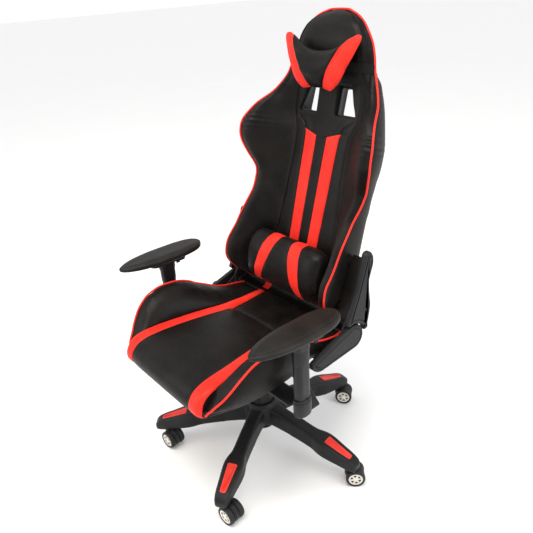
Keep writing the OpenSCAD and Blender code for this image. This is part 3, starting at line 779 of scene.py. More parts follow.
def screws(spots, sink):
    parts = []
    for side in (-1, 1):
        for y, z in spots:
            head = [(side * (hinge["outer"] - sink + a), r) for a, r in hinge["screwHead"]]
            parts.append(revolved(head, lambda a, v, w: (a, y + v, z + w), 24))
    return joinParts(parts)


lowerOutline = roundCorners(arc(37, -84, 112, 22) + [
    (-8, 446), (-27, 439), (-27, 425), (-12, 409), (4, 403)], 9, 4)
upperOutline = roundCorners([(106, 494)] + arc(42, 112, 6, 14) + [
    (180, 458), (191, 480), (199, 527), (193, 570), (191, 605), (207, 650), (206, 670), (194, 688),
    (176, 686), (163, 640), (138, 570), (118, 525)], 8, 4)
innerOutline = roundCorners([
    (114, 500), (150, 497), (181, 503), (193, 527), (187, 570), (184, 605), (196, 646), (186, 668),
    (170, 640), (143, 570), (123, 525)], 7, 4)
inner, outer = hinge["inner"], hinge["outer"]
coverSteps = [(0.6, inner), (0, inner + 1), (0, outer - 5), (1.0, outer - 2.4), (3.2, outer - 0.5),
              (6, outer), (8.4, outer), (9.4, outer - 1.3), (11, outer - 1.3), (12, outer - 0.1)]
for name, outline, body, node in (("hinge_cover_low", lowerOutline, "seat", "lower_covers"),
                                  ("hinge_cover_high", upperOutline, "back", "upper_covers")):
    cover = makePiece(name, *onBothSides(outline, coverSteps), body, "coverPlastic", "cover_plastic",
                      replaced=[node])
    bevelled(cover, 0.4, 50)
makePiece("hinge_screws_low", *screws(hinge["lowScrews"], 1.2), "seat", "powderSteel")
makePiece("hinge_screws_high", *screws(hinge["highScrews"], 0.4), "back", "powderSteel")
sleeveSteps = [(5, 207), (1.5, 209), (0, 213), (0, 240), (1.5, inner - 0.3)]
makePiece("hinge_bracket_sleeves", *onBothSides(innerOutline, sleeveSteps), "back", "blackLeather")
print("hinge covers made")


lean = math.radians(16.12)
backLook = {"y": 201, "z": 638, "panelDepth": 16, "crown": 3.2, "groove": 1.6, "headUp": 545, "headCrown": 9}


def atBack(x, forward, up):
    # the backrest's own leaning frame; forward is towards the sitter
    ly = -forward
    return (x, backLook["y"] + ly * math.cos(lean) + up * math.sin(lean),
            backLook["z"] - ly * math.sin(lean) + up * math.cos(lean))


# up the back: half width at the piping, how far forward the piping stands
edgeRows = smoothTable([
    (-160, 128, 16), (-156, 148, 30), (-148, 172, 52), (-135, 194, 80), (-118, 206, 100),
    (-105, 210, 108), (-69, 211, 112), (-40, 213, 103), (-12, 210, 90), (34, 207, 75), (75, 205, 58),
    (111, 203, 43), (135, 208, 36), (162, 212, 31), (188, 220, 35), (197, 226, 45), (227, 240, 65),
    (251, 249, 80), (280, 252, 88), (305, 250, 88), (328, 240, 80), (365, 221, 61), (401, 196, 29),
    (434, 176, 16), (459, 162, 11), (500, 147, 14), (553, 129, 20), (584, 108, 25), (600, 92, 24),
    (615, 70, 21), (625, 46, 18), (630, 20, 14)])


def edgeAt(up):
    # the rows, with their corners eased
    reach = min(13, max(0, (604 - up) / 3))
    return sum(edgeRows(up + reach * k) for k in (-1, -0.5, 0, 0.5, 1)) / 5


# where the centre panel meets the wings, its height off the back's plane, and the rear face's depth
seamAt = smoothTable([
    (-160, 110, 0, 41), (-100, 121, 0, 41), (0, 115, 0, 41), (100, 107, 0, 41), (200, 100, 0, 41),
    (250, 97, 0, 41), (300, 99, 0, 41), (340, 113, 0, 41), (363, 121, 1, 41), (400, 122, 3, 41),
    (441, 117, 6, 36), (470, 114, 16, 29), (500, 113, 28, 23), (530, 111, 37, 19), (556, 106, 41, 17),
    (584, 91, 41, 14), (600, 77, 37, 12), (615, 56, 30, 11), (625, 34, 20, 10), (630, 14, 15, 10)])
# the two stripes' inner and outer edges; above the shield they pass round the harness holes
stripeAt = smoothTable([
    (-160, 16, 54), (0, 18, 57), (150, 19, 60.5), (285, 20, 64), (300, 21, 70), (318, 25, 80),
    (345, 30, 100), (363, 33, 107), (400, 33, 95), (441, 33, 83), (460, 30, 76), (500, 28, 70),
    (584, 22, 56), (600, 18, 46), (615, 13, 34), (625, 8, 20), (630, 3, 8)])


def headCrown(up):
    return backLook["headCrown"] * math.exp(-((up - backLook["headUp"]) / 60) ** 2)


def wingFront(t, up):
    # t runs from the centre seam to the piping: (x, forward)
    half, depth = edgeAt(up)
    seam, lift, _ = seamAt(up)
    s = 0.5 - 0.5 * math.cos(math.pi * t ** 0.92)
    roll = min(1, (half - seam) / 60) * (1 - 0.55 * within((up - 440) / 40))
    bulge = 7 * roll * math.sin(math.pi * t) + 9 * roll * math.exp(-((t - 0.84) / 0.14) ** 2) * (1 - t) * 5
    return seam + (half - seam) * t, lift + (depth - lift) * s + bulge


wingLook = {"drawFrom": 454, "drawOver": 44, "folds": 3.0, "foldsUp": 311, "seamUp": 432, "seamDepth": 1.5}


def rearHalf(up):
    # half width of the flat rear face; above the shoulders it draws in behind the piping
    half, depth = edgeAt(up)
    low = min(127 + 24 * within((215 - up) / 90), half - 24) if half > 60 else half * 0.6
    high = max(half - 1.25 * (depth + seamAt(up)[2]), half * 0.42)
    drawn = ease(within((up - wingLook["drawFrom"]) / wingLook["drawOver"]))
    return low + (min(low, high) - low) * drawn, drawn


def wingRear(t, up):
    # t runs from the piping round to the rear panel
    half, depth = edgeAt(up)
    rear = seamAt(up)[2]
    inner, drawn = rearHalf(up)
    total = depth + rear
    a = t * math.pi / 2
    fall = math.sin(a) ** 1.05
    full = 0.85 - 0.35 * within((215 - up) / 90)
    share = math.cos(a) ** full * (1 - drawn) + (1 - fall) ** 0.9 * drawn
    return inner + (half + 1.5 - inner) * share, depth - total * fall


def centreFront(x, up):
    # height of the centre panel's face at x, with its channels drawn in
    inner, outer = stripeAt(up)
    seam, lift, _ = seamAt(up)
    x = abs(x)
    low, high = (0, inner) if x < inner else (inner, outer) if x < outer else (outer, seam)
    span = max(high - low, 1)
    t = 0.5 + 0.5 * x / span if low == 0 else (x - low) / span
    puff = (1 - abs(2 * t - 1) ** 5) ** 0.6 if t < 1 else 0
    top = 300 if min(abs(x - inner), x) < abs(x - outer) else 352
    channels = within((top - up) / 12)
    rounded = backLook["crown"] * (0.6 if low == 0 else 1) * puff * channels
    edge = 1 - math.exp(-((x - seam) / 5) ** 2)
    whole = 1 - (x / seam) ** 2
    return (lift + rounded - backLook["groove"] * channels - 2 * (1 - edge) * (1 - channels)
            + whole * (4 + headCrown(up)))


# how far across its strip each column stands, dense beside a seam
share = [0, 0.05, 0.13, 0.28, 0.46, 0.64, 0.8, 0.91, 0.96]


def panelColumns(up):
    # x positions across the centre panel
    inner, outer = stripeAt(up)
    seam = seamAt(up)[0]
    marks = [-seam, -outer, -inner, inner, outer, seam]
    xs = []
    for a, b in zip(marks[:-1], marks[1:]):
        xs += [a + (b - a) * s for s in share]
    return xs + [seam]


# the shield's lower edge: its height in the middle, its rise and its half width; then the holes' rows
shield = {"up": 296, "rise": 24, "half": 79, "groove": 1.8, "holes": (363, 441)}


def shieldRise(x, v):
    # rows bend up into the shield's pointed lower edge
    weight = max(0, 1 - abs(v - shield["up"]) / (64 if v > shield["up"] else 150))
    return shield["rise"] * min(abs(x), shield["half"]) / shield["half"] * weight * weight * (3 - 2 * weight)


panelRows = sorted(set(
    list(np.linspace(-154, 286, 56)) + [290.5, 293.5, 296, 298.5, 302, 308, 316, 326, 338, 350, 358]
    + list(np.linspace(363, 441, 13)) + list(np.linspace(449, 606, 24)) + [613, 619, 624, 628]))


def makeCentrePanel():
    per = len(share)
    rowsFront, rowsBack = [], []
    for v in panelRows:
        front, back = [], []
        for x in panelColumns(v):
            up = v + shieldRise(x, v)
            outer, seam = stripeAt(v)[1], seamAt(v)[0]
            scale = seamAt(up)[0] / seam if abs(x) > outer else 1
            xx = x * (1 + (scale - 1) * within((abs(x) - outer) / max(1, seam - outer)))
            high = centreFront(x, v)
            if abs(v - shield["up"]) < 3 and abs(x) < 84:
                high -= shield["groove"] * (1 - abs(v - shield["up"]) / 3)
            front.append(atBack(xx, high, up))
            back.append(atBack(xx, min(-backLook["panelDepth"] + seamAt(v)[1] * 0.9, high - 6), up))
        rowsFront.append(front)
        rowsBack.append(back)
    n, count = len(rowsFront[0]), len(panelRows)
    verts = [p for row in rowsFront + rowsBack for p in row]
    shift = count * n
    faces, looks = [], []

    def onStripe(j):
        return per <= j < 2 * per or 3 * per <= j < 4 * per

    def inHole(i, j):
        low, high = shield["holes"]
        return onStripe(j) and low <= panelRows[i] and panelRows[i + 1] <= high
    for i in range(count - 1):
        for j in range(n - 1):
            if inHole(i, j):
                continue
            a, b, c, d = i * n + j, i * n + j + 1, (i + 1) * n + j + 1, (i + 1) * n + j
            faces += [(a, b, c, d), (d + shift, c + shift, b + shift, a + shift)]
            looks += [1 if onStripe(j) and panelRows[i + 1] <= shield["up"] + 0.01 else 0, 0]
            walls = ((i == 0 or inHole(i - 1, j), b, a), (i == count - 2 or inHole(i + 1, j), d, c),
                     (j == 0 or inHole(i, j - 1), a, d), (j == n - 2 or inHole(i, j + 1), c, b))
            for bare, p, q in walls:
                if bare:
                    faces.append((p, q, q + shift, p + shift))
                    looks.append(0)
    return makePiece("back_centre_panel", verts, faces, None, ["blackLeather", "redLeather"], faceLook=looks)


wingRows = sorted(set(
    list(np.linspace(-156, -100, 11)) + list(np.linspace(-94, 560, 96)) + list(np.linspace(280, 342, 22))
    + [428.5, 430.2, 432, 433.8, 435.5] + list(np.linspace(566, 612, 10)) + [617, 621, 625, 628]))


def tug(near, up):
    # creases across the shoulder where the cover is pulled tight, and a seam above; near is 1 at the piping
    fold = (wingLook["folds"] * math.exp(-((up - wingLook["foldsUp"]) / 20) ** 2) * near ** 3
            * math.sin((up + 8 * near) * 0.42))
    return (fold - wingLook["seamDepth"] * math.exp(-((up - wingLook["seamUp"]) / 1.7) ** 2)
            * within(near * 3 - 1.2))


def wingRing(side, up):
    ring = []
    for t in np.linspace(0, 1, 20):
        x, forward = wingFront(t, up)
        ring.append(atBack(side * x, forward + tug(t, up), up))
    for t in np.linspace(0, 1, 20)[1:]:
        x, forward = wingRear(t, up)
        ring.append(atBack(side * (x + tug(1 - t, up)), forward, up))
    seam, lift, rear = seamAt(up)
    x0 = abs(ring[-1][0])
    for t in (0.25, 0.5, 0.75):
        x = x0 + (seam - x0) * t
        ring.append(atBack(side * x, -rear + (lift - 1.5 + rear) * t, up))
    return ring


def makeRearPanel():
    rows = []
    for up in wingRows:
        rear = seamAt(up)[2]
        inner = rearHalf(up)[0] - 0.4
        fade = within((630 - up) / 30)
        spans = np.linspace(-1, 1, 33)
        rows.append([atBack(inner * t, -rear - 3.0 * (1 - t * t) * fade, up) for t in spans]
                    + [atBack(inner * t, -rear + 6.5, up) for t in spans[::-1]])
    return makePiece("back_rear_skin", *rings(rows), None, "blackLeather")


# a harness hole's bottom, top and side; its sleeve's steps as (forward, inner edge, how far it grows)
holeLook = {"low": 366, "high": 438, "inner": 20, "outerLow": 104, "outerHigh": 100, "grow": 3, "round": 5,
            "sleeve": [(-9, 33, -1.5), (-7, 33, 3.0), (-9, 33, 3.4), (-16, 31, 2.4), (-40, 20, 2.4),
                       (-43, 20, 3.2), (-46, 19, 3.6), (-46.6, 20, -1.0), (-40, 20.5, 0.2),
                       (-16, 32.5, 0.2)]}


def holeCorners(inner, outer, grow):
    low, high = holeLook["low"], holeLook["high"]
    return [(inner - grow, low - grow), (holeLook["outerLow"] + grow, low - grow),
            (outer + grow, high + grow), (inner - grow, high + grow)]


def cutHoles(piece):
    # the harness holes go right through
    for side in (-1, 1):
        corners = holeCorners(holeLook["inner"], holeLook["outerHigh"], holeLook["grow"])
        verts = [atBack(side * x, f, up) for f in (60, -90) for x, up in corners]
        faces = [(0, 1, 2, 3), (7, 6, 5, 4), (0, 4, 5, 1), (1, 5, 6, 2), (2, 6, 7, 3), (3, 7, 4, 0)]
        cutter = makePiece("cutter", verts, faces, None, "blackLeather", smooth=False)
        addModifier(piece, "BOOLEAN", operation="DIFFERENCE", object=cutter, solver="EXACT")
        applyAll(piece)
        bpy.data.objects.remove(cutter)


def makeSleeves():
    # plastic sleeves line the harness holes; each widens towards the middle at the rear
    parts = []
    for side in (-1, 1):
        rows = []
        for f, inner, grow in holeLook["sleeve"]:
            corners = holeCorners(inner + 3, 80 + 20 * within((33 - inner) / 13), grow)
            rows.append([atBack(side * x, f, up) for x, up in roundCorners(corners, holeLook["round"])])
        rows.append(rows[0])
        parts.append(rings(rows, caps=False))
    makePiece("harness_hole_sleeves", *joinParts(parts), "back", "blackPlastic", "cover_plastic",
              replaced=["belt_bezels"])


crownLook = {"half": 62, "from": 588, "to": 630, "drop": 9, "thick": 5, "bow": 3.5}


def makeCrown():
    # rolls the cover over the top of the headrest, from the piping down to the rear panel
    ups = np.linspace(crownLook["from"], crownLook["to"], 80)
    halves = [edgeAt(up)[0] for up in ups]
    turns = np.linspace(0, math.pi / 2, 14)
    drop = crownLook["drop"]
    rows = []
    for x in np.linspace(-crownLook["half"], crownLook["half"], 51):
        top = float(np.interp(abs(x), halves[::-1], ups[::-1]))
        depth = edgeAt(top)[1] - 1.5
        half, stand = edgeAt(top - drop)
        inner, rear = rearHalf(top - drop)[0], seamAt(top - drop)[2]
        back = -rear if abs(x) < inner else stand - (stand + rear) * (half - abs(x)) / (half - inner)
        back -= crownLook["bow"] * (1 - (x / crownLook["half"]) ** 2)
        outer = [(depth - (depth - back) * math.sin(t), top - 0.6 - drop * (1 - math.cos(t))) for t in turns]
        under = [(f + 4 * math.sin(t), up - crownLook["thick"]) for (f, up), t in zip(outer, turns)]
        rows.append([atBack(x, f, up) for f, up in outer + under[::-1]])
    crown = makePiece("back_crown_skin", *rings(rows), "back", "blackLeather", "leather_black")


makeSleeves()
centre = makeCentrePanel()
puckers(centre, 0.35, 30)
settle(centre, "back", "leather_black", ["back_panel"])
pipePath = []
for up in list(np.linspace(-156, -118, 8)) + list(np.linspace(-110, 604, 90)) + [612, 619, 625]:
    half, depth = edgeAt(up)
    tuck = within((up - 485) / 30) * within((622 - up) / 22)  # hidden at the headrest
    pipePath.append((half + 1.2 - 0.7 * tuck, depth + 1.2 - 5 * tuck, up))
for word, side in (("left", 1), ("right", -1)):
    skin = rings([wingRing(side, up) for up in wingRows])
    wing = makePiece("back_wing_skin_" + word, *skin, None, "blackLeather")
    puckers(wing, 0.55, 40, [[atBack(side * x, f, u) for x, f, u in pipePath]], 22, 0.3)
    settle(wing, "back", "leather_black", ["back_wing_" + word])
rearPanel = makeRearPanel()
cutHoles(rearPanel)
settle(rearPanel, "back", "leather_black", ["rear_panel"])
makeCrown()
over = (pipePath + [(30, 17, 630.5), (0, 15, 632), (-30, 17, 630.5)]
        + [(-x, f, u) for x, f, u in reversed(pipePath)])
pipingAlong("back_piping", throughPoints([atBack(*p) for p in over], 620), pipingLook["backRadius"], "back")
# stitches inside and outside each stripe
for side in (-1, 1):
    for index, shift in ((0, -2.6), (1, 2.6)):
        line = [(side * (stripeAt(v)[index] + shift), v) for v in np.linspace(-120, 288, 90)]
        path = [atBack(x, centreFront(x, v) + 0.1, v) for x, v in line]
        stitching("back_stitch_%d_%d" % (index, side + 1), path, [atBack(0, 1, 0)] * len(path), "back")
print("backrest made")


# across the seat: the stripes' inner and outer edges, from the front to the back
seatStripe = smoothTable([
    (-340, 139, 176), (-300, 138, 178), (-240, 134, 175), (-200, 130, 170), (-140, 121, 161),
    (-80, 111, 151), (-16, 101, 141), (0, 101.5, 140), (60, 106, 139), (130, 112, 139)])
# once round the cushion, side on: distance behind the axis and height
seatLoop = throughPoints([
    (128, 451), (60, 454), (0, 458), (-60, 462), (-120, 465), (-180, 466.5), (-240, 466.5), (-280, 464),
    (-308, 455), (-326, 438), (-333, 418), (-329, 400), (-314, 390.5), (-290, 389), (-262, 389),
    (-258, 399), (-200, 400.6), (-120, 400.6), (0, 401), (120, 401), (136, 408), (138, 430),
    (135, 446)], 190, closed=True)


seatLook = {"crown": 3.0, "stripeCrown": 2.2, "groove": 2.2, "dish": 2.5, "roundOver": 14, "seamDepth": 1.8,
            "step": 5.5}


def makeSeatCushion():
    way = np.roll(seatLoop, -1, axis=0) - np.roll(seatLoop, 1, axis=0)
    way /= np.linalg.norm(way, axis=1, keepdims=True)
    out = outwards(seatLoop, way)
    columns = []
    for a, b in ((-2, -1), (-1, 1), (1, 2)):
        n = 12 if a != -1 else 26
        fractions = [0, 0.03, 0.08] + list(np.linspace(0.14, 0.86, n)) + [0.92, 0.97]
        columns += [(a, b, f) for f in fractions]
    columns.append((1, 2, 1.0))
    rows = []
    for a, b, f in columns:
        row = []
        for k, (y, z) in enumerate(seatLoop):
            inner, outer = seatStripe(y)
            level = {-2: -outer, -1: -inner, 1: inner, 2: outer}
            x = level[a] + (level[b] - level[a]) * f
            top = max(0, out[k][1])
            front = max(0, -out[k][0])
            show = max(top, front)
            puff = (1 - abs(2 * f - 1) ** 6) ** 0.5 if 0 < f < 1 else 0
            crown = seatLook["crown"] if a == -1 else seatLook["stripeCrown"]
            lift = show * (puff * crown - seatLook["groove"])
            # the whole seat dishes a little, and its ends turn under
            lift += top * (seatLook["dish"] * (1 - (x / outer) ** 2) - 1.0)
            edge = (abs(x) - (outer - seatLook["roundOver"])) / seatLook["roundOver"]
            if edge > 0:
                turn = seatLook["roundOver"] * front * (0.3 + 0.7 * front) + 5 * top
                lift -= turn * (1 - math.sqrt(max(0, 1 - edge * edge)))
            # a seam crosses the seat between the stripes, with a low step behind it
            if z > 430 and a == -1:
                across = (y + 5) / 4
                step = within((y + 24) / 18)
                back = within((y + 6) / 110)
                lift -= (seatLook["seamDepth"] * math.exp(-across * across)
                         + seatLook["step"] * step * step * (3 - 2 * step) * (1 - back))
            row.append((x, y + out[k][0] * lift, z + out[k][1] * lift))
        rows.append(row)
    looks = []
    for a, _, _ in columns[:-1]:
        looks += [1 if a != -1 and not (y > 120 and z < 446) else 0 for y, z in seatLoop]
    cushion = makePiece("seat_centre_cushion", *rings(rows), None, ["blackLeather", "redLeather"],
                        faceLook=looks + [0, 0])
    # what the seams, the underside and the rear hold still while the cushion is filled
    held = []
    for i, (a, _, f) in enumerate(columns):
        for k, (y, z) in enumerate(seatLoop):
            hidden = z < 402 or y > 120
            weight = 1.0 if hidden or i in (0, len(columns) - 1) else 0.85 if f in (0, 1.0) else 0
            if z > 430 and abs(y + 14) < 3 and a == -1:
                weight = 0.8
            if weight:
                held.append((i * len(seatLoop) + k, weight))
    plump(cushion, 3.0, 5, held)
    puckers(cushion, 0.5, 30, [[(x, -14, 461) for x in np.linspace(-100, 100, 40)]], 14, 0.35)
    settle(cushion, "seat", "leather_black", ["seat_cushion"])
    return cushion


# half width and height of the bolster's piping along the seat
seatEdge = smoothTable([
    (-314, 186, 404), (-309, 193, 414), (-303, 200, 424), (-295, 206, 433), (-285, 213, 443),
    (-269, 224, 463), (-237, 237, 499), (-198, 243, 524), (-152, 245, 533), (-114, 244, 531),
    (-88, 243, 525), (-60, 238, 514), (-44, 234, 504), (-9, 226, 487), (20, 220, 472), (63, 220, 457),
    (94, 220, 451), (130, 213, 447)])
# how high the cushion is where the bolster meets it
meetAt = smoothTable([
    (-318, 400), (-309, 436), (-303, 447), (-295, 454), (-280, 458), (-240, 461), (-120, 460), (0, 453),
    (60, 449), (130, 446)])


bolsterLook = {"floor": 393, "crown": 7, "flank": 7.5, "tuckUnder": 13}


def bolsterRing(side, y):
    half, top = seatEdge(y)
    inner = min(seatStripe(y)[1] - 0.6, half - 10)
    meet = min(meetAt(y), top - 2)
    floor = bolsterLook["floor"] + 8 * max(0, (-y - 300) / 14)
    # up the inner wall, over the rounded inner face to the piping
    ring = [(inner + 1.5, z) for z in (floor + 4, (floor + meet) / 2)]
    span, rise = half - inner, top - meet
    for t in np.linspace(0, 1, 18):
        s = math.sin(t * math.pi / 2) ** 1.15
        swell = (bolsterLook["crown"] * min(1, rise / 40) * math.sin(math.pi * t)
                 + 3 * math.sin(math.pi * t ** 2.2))
        ring.append((inner + span * (1 - math.cos(t * math.pi / 2)) ** 0.78, meet + rise * s + swell * 0.55))
    # down the outer face and under
    low = floor + 14
    for t in np.linspace(0, 1, 16)[1:]:
        swell = (bolsterLook["flank"] * math.sin(math.pi * t ** 0.8) * min(1, (top - low) / 60)
                 - bolsterLook["tuckUnder"] * t ** 3)
        ring.append((half + swell, top + (low + 3 - top) * t))
    for t in (0.12, 0.3, 0.55, 0.8):
        ring.append((half - 14 + (inner + 20 - half) * t, low - (low - floor) * min(1, t * 1.8)))
    return [(side * x, y, z) for x, z in ring]


def makeBolster(word, side):
    ys = [-313, -311, -308, -304] + list(np.linspace(-299, 124, 72)) + [127, 129.5]
    rows = [bolsterRing(side, y) for y in ys]
    # both ends close in
    for index, shrink in ((0, 0.62), (1, 0.84), (-2, 0.93), (-1, 0.8)):
        middle = np.mean(np.array(rows[index]), axis=0)
        rows[index] = [tuple(middle + (np.array(p) - middle) * shrink) for p in rows[index]]
    bolster = makePiece("seat_bolster_skin_" + word, *rings(rows), None, "blackLeather")
    pipe = [(side * (seatEdge(y)[0] + 1.0), y, seatEdge(y)[1] + 1.2) for y in np.linspace(-306, 131, 90)]
    puckers(bolster, 1.2, 28, [pipe], 20, 0.25)
    subdivided(bolster)
    settle(bolster, "seat", "leather_black", ["seat_bolster_" + word])
    tip = [(side * 186, -315, 404), (side * 193, -311, 415)]
    pipingAlong("seat_piping_" + word, throughPoints(tip + pipe, 240), pipingLook["seatRadius"], "seat")


cushion = makeSeatCushion()
for word, side in (("left", 1), ("right", -1)):
    makeBolster(word, side)
    line = [(side * (seatStripe(y)[0] - 3.2), y, 465) for y in np.linspace(-296, 118, 120)]
    sewn("seat_stitch_stripe_" + word, cushion, line, "seat")
sewn("seat_stitch_across", cushion, [(x, 0.5, 460) for x in np.linspace(-96, 96, 70)], "seat")
print("seat made")


# a stuffed leather roll closes the gap behind the seat; the stripes run on over it
rollLook = {"half": 230, "stripe": (112, 139), "middle": (163, 460), "wave": 1.6, "groove": 1.2,
            "profile": [(130, 446), (142, 449), (154, 453), (163, 461), (168, 473), (170, 487), (177, 491),
                        (182, 480), (179, 463), (168, 448), (150, 438), (134, 436)]}


def makeRoll():
    loop = throughPoints(rollLook["profile"], 44, closed=True)
    half, (near, far), (my, mz) = rollLook["half"], rollLook["stripe"], rollLook["middle"]
    marks = [-half, -far, -near, near, far, half]
    xs, looks = [], []
    for n, count in enumerate((14, 8, 34, 8, 14)):
        xs += list(np.linspace(marks[n], marks[n + 1], count, endpoint=False))
        looks += [1 if n in (1, 3) and 3 < k < 21 else 0 for k in range(len(loop))] * count
    rows = []
    for x in xs + [half]:
        row = []
        end = min(1, (half - abs(x)) / 10)
        size = 0.55 + 0.45 * math.sqrt(max(0, end * (2 - end)))
        dip = min(abs(abs(x) - m) for m in (near, far))
        for y, z in loop:
            high = max(0, (z - 444) / 53)
            z += max(0, abs(x) - 150) * 0.45 * high
            y -= max(0, abs(x) - 165) * 0.3 * high
            wave = (rollLook["wave"] * noise.noise(Vector((x / 34, y / 30, z / 30)))
                    - rollLook["groove"] * math.exp(-(dip / 3) ** 2))
            dy, dz = y - my, z - mz
            puff = 1 + wave / (math.hypot(dy, dz) + 6)
            row.append((x, my + dy * size * puff, mz + dz * size * puff))
        rows.append(row)
    roll = makePiece("seat_back_roll", *rings(rows), None, ["blackLeather", "redLeather"],
                     faceLook=looks + [0, 0])
    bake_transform(roll)


makeRoll()


# head pillow: its side and the red band's inner edge, as (up the pillow 0 to 1, half width, height)
headSide = smoothTable([
    (0, 50, 421), (0.1, 66, 430), (0.25, 86, 450), (0.45, 103, 481), (0.6, 115, 503), (0.8, 130, 535),
    (0.9, 137, 551), (0.96, 139, 561), (1, 133, 567)])
headBand = smoothTable([
    (0, 22, 426), (0.12, 32, 442), (0.28, 46, 465), (0.48, 62, 492), (0.75, 86, 530), (1, 105, 556)])
headLook = {"band": 0.62, "rows": 24, "low": 427, "high": 93, "thick": 24, "seam": 3.0, "forward": 62}


def headPoint(u, v):
    # u from -1 to 1 across, v from 0 to 1 up
    a = abs(u)
    p, q = max(0, (a - 0.81) / 0.19), max(0, (v - 0.86) / 0.14)
    if p > 0 and q > 0:
        blunt = max(p, q) / math.hypot(p, q)
        a, v = 0.81 + 0.19 * p * blunt, 0.86 + 0.14 * q * blunt
    sx, sz = headSide(v)
    bx, bz = headBand(v)
    mz = headLook["low"] + v * headLook["high"]
    if a > headLook["band"]:
        t = (a - headLook["band"]) / 0.38
        x, z = bx + (sx - bx) * t, bz + (sz - bz) * t
    else:
        t = a / headLook["band"]
        x, z = bx * t, mz + (bz - mz) * t ** 2.2
    return math.copysign(x, u), z


def makeHeadPillow():
    band = headLook["band"]
    across = (list(np.linspace(-1, -band, 9)) + list(np.linspace(-band, band, 31))[1:-1]
              + list(np.linspace(band, 1, 9)))
    front, back = [], []
    for v in np.linspace(0, 1, headLook["rows"]):
        frontRow, backRow = [], []
        for u in across:
            x, z = headPoint(u, v)
            edge = min(1, (1 - abs(u)) / 0.34) if abs(u) > 0.66 else 1
            ends = min(1, min(v, 1 - v) / 0.3)
            thick = headLook["thick"] * (max(0, edge) ** 0.5) * (max(0, ends) ** 0.5)
            if abs(u) > band:
                thick *= 0.75
            middle = headLook["forward"] + 6 * (1 - abs(u)) + 7 * (abs(u) ** 2) - 15 * (1 - v) ** 3
            seam = math.exp(-((abs(u) - band) / 0.035) ** 2) * headLook["seam"]
            frontRow.append(atBack(x, middle + max(thick - seam, 0.6), z))
            backRow.append(atBack(x, middle - max(thick * 0.95, 0.6), z))
        front.append(frontRow)
        back.append(backRow)
    n, m = len(across), headLook["rows"]
    verts = [p for row in front + back for p in row]
    shift = n * m
    faces, looks = [], []
    for i in range(m - 1):
        for j in range(n - 1):
            a, b, c, d = i * n + j, i * n + j + 1, (i + 1) * n + j + 1, (i + 1) * n + j
            faces += [(a, b, c, d), (d + shift, c + shift, b + shift, a + shift)]
            looks += [1 if abs(across[j]) >= band - 0.0001 and abs(across[j + 1]) >= band - 0.0001 else 0, 0]
    rim = (list(range(n)) + [i * n + n - 1 for i in range(1, m)]
           + [(m - 1) * n + j for j in range(n - 2, -1, -1)] + [i * n for i in range(m - 2, 0, -1)])
    for p, q in zip(rim, rim[1:] + rim[:1]):
        faces.append((q, p, p + shift, q + shift))
        looks.append(1 if abs(verts[p][0]) > 40 and p % n in (0, n - 1) and q % n in (0, n - 1) else 0)
    pillow = makePiece("head_pillow_cover", verts, faces, None, ["blackLeather", "redLeather"],
                       faceLook=looks)
    onSeam = [j for j, u in enumerate(across) if abs(abs(u) - band) < 0.005]
    plump(pillow, 5.0, 9, [(v.index, 0.6) for v in pillow.data.vertices if v.index % shift % n in onSeam])
    puckers(pillow, 1.3, 22, [[row[j] for row in front] for j in onSeam], 16, 0.35)
    subdivided(pillow)
    settle(pillow, "back", "leather_black", ["head_pillow"])


makeHeadPillow()


# lumbar pillow: loops across x; its size, and its middle in the back's frame
lumbarLook = {"half": 150, "tall": 77, "front": 45, "rear": 24, "forward": 50, "up": -70, "world": 586,
              "around": 48, "seam": 0.035}


def bandAt(z):
    # the red bands' inner and outer edges; they slant from the top down
    t = within((655 - z) / 135)
    return 27 + 47 * t ** 1.3, 68 + 34 * t ** 0.9


def lumbarPoint(u, k):
    # u from -1 to 1 across in band units, k round the loop
    a = 2 * math.pi * k / lumbarLook["around"]
    c, s = math.cos(a), math.sin(a)
    z = lumbarLook["tall"] * signedPower(s, 0.86)
    f = lumbarLook["front"] * signedPower(c, 0.92) if c > 0 else lumbarLook["rear"] * signedPower(c, 0.8)
    inner, outer = bandAt(lumbarLook["world"] + z)
    b = abs(u)
    if b < 1 / 3:
        x = inner * b * 3
    elif b < 2 / 3:
        x = inner + (outer - inner) * (b - 1 / 3) * 3
    else:
        x = outer + (lumbarLook["half"] - outer) * (b - 2 / 3) * 3
    swell = max(0.1, 1 - (max(0, x - 96) / 56) ** 2.6) ** 0.5
    return math.copysign(x, u), -f * (0.35 + 0.65 * swell), z * (0.5 + 0.5 * swell)


def fromSeam(u):
    return min(abs(abs(u) - 1 / 3), abs(abs(u) - 2 / 3))


def makeLumbar():
    count, forward, middle = lumbarLook["around"], lumbarLook["forward"], lumbarLook["up"]
    marks = [-1, -2 / 3, -1 / 3, 1 / 3, 2 / 3, 1]
    levels = set()
    for a, b, steps in zip(marks[:-1], marks[1:], (13, 7, 13, 7, 13)):
        levels |= {round(u, 5) for u in np.linspace(a, b, steps)}
    levels = sorted(levels)
    rows = []
    for u in levels:
        pull = 1 - lumbarLook["seam"] * math.exp(-(fromSeam(u) / 0.02) ** 2)
        points = [lumbarPoint(u, k) for k in range(count)]
        rows.append([atBack(x, forward - ly * pull, middle + up * pull) for x, ly, up in points])
    looks = []
    for a, b in zip(levels[:-1], levels[1:]):
        looks += [1 if 1 / 3 < abs(a + b) / 2 < 2 / 3 else 0] * count
    lumbar = makePiece("lumbar_pillow_cover", *rings(rows), None, ["blackLeather", "redLeather"],
                       faceLook=looks + [0, 0])
    onSeam = [i for i, u in enumerate(levels) if fromSeam(u) < 0.002]
    plump(lumbar, 4.0, 8, [(i * count + k, 0.7) for i in onSeam for k in range(count)])
    puckers(lumbar, 2.0, 22, [rows[i] for i in onSeam] + [rows[0], rows[-1]], 17, 0.22)
    subdivided(lumbar)
    settle(lumbar, "back", "leather_black", ["lumbar_pillow"])


makeLumbar()


strapLook = {"low": 478, "high": 500, "thick": 1.3}


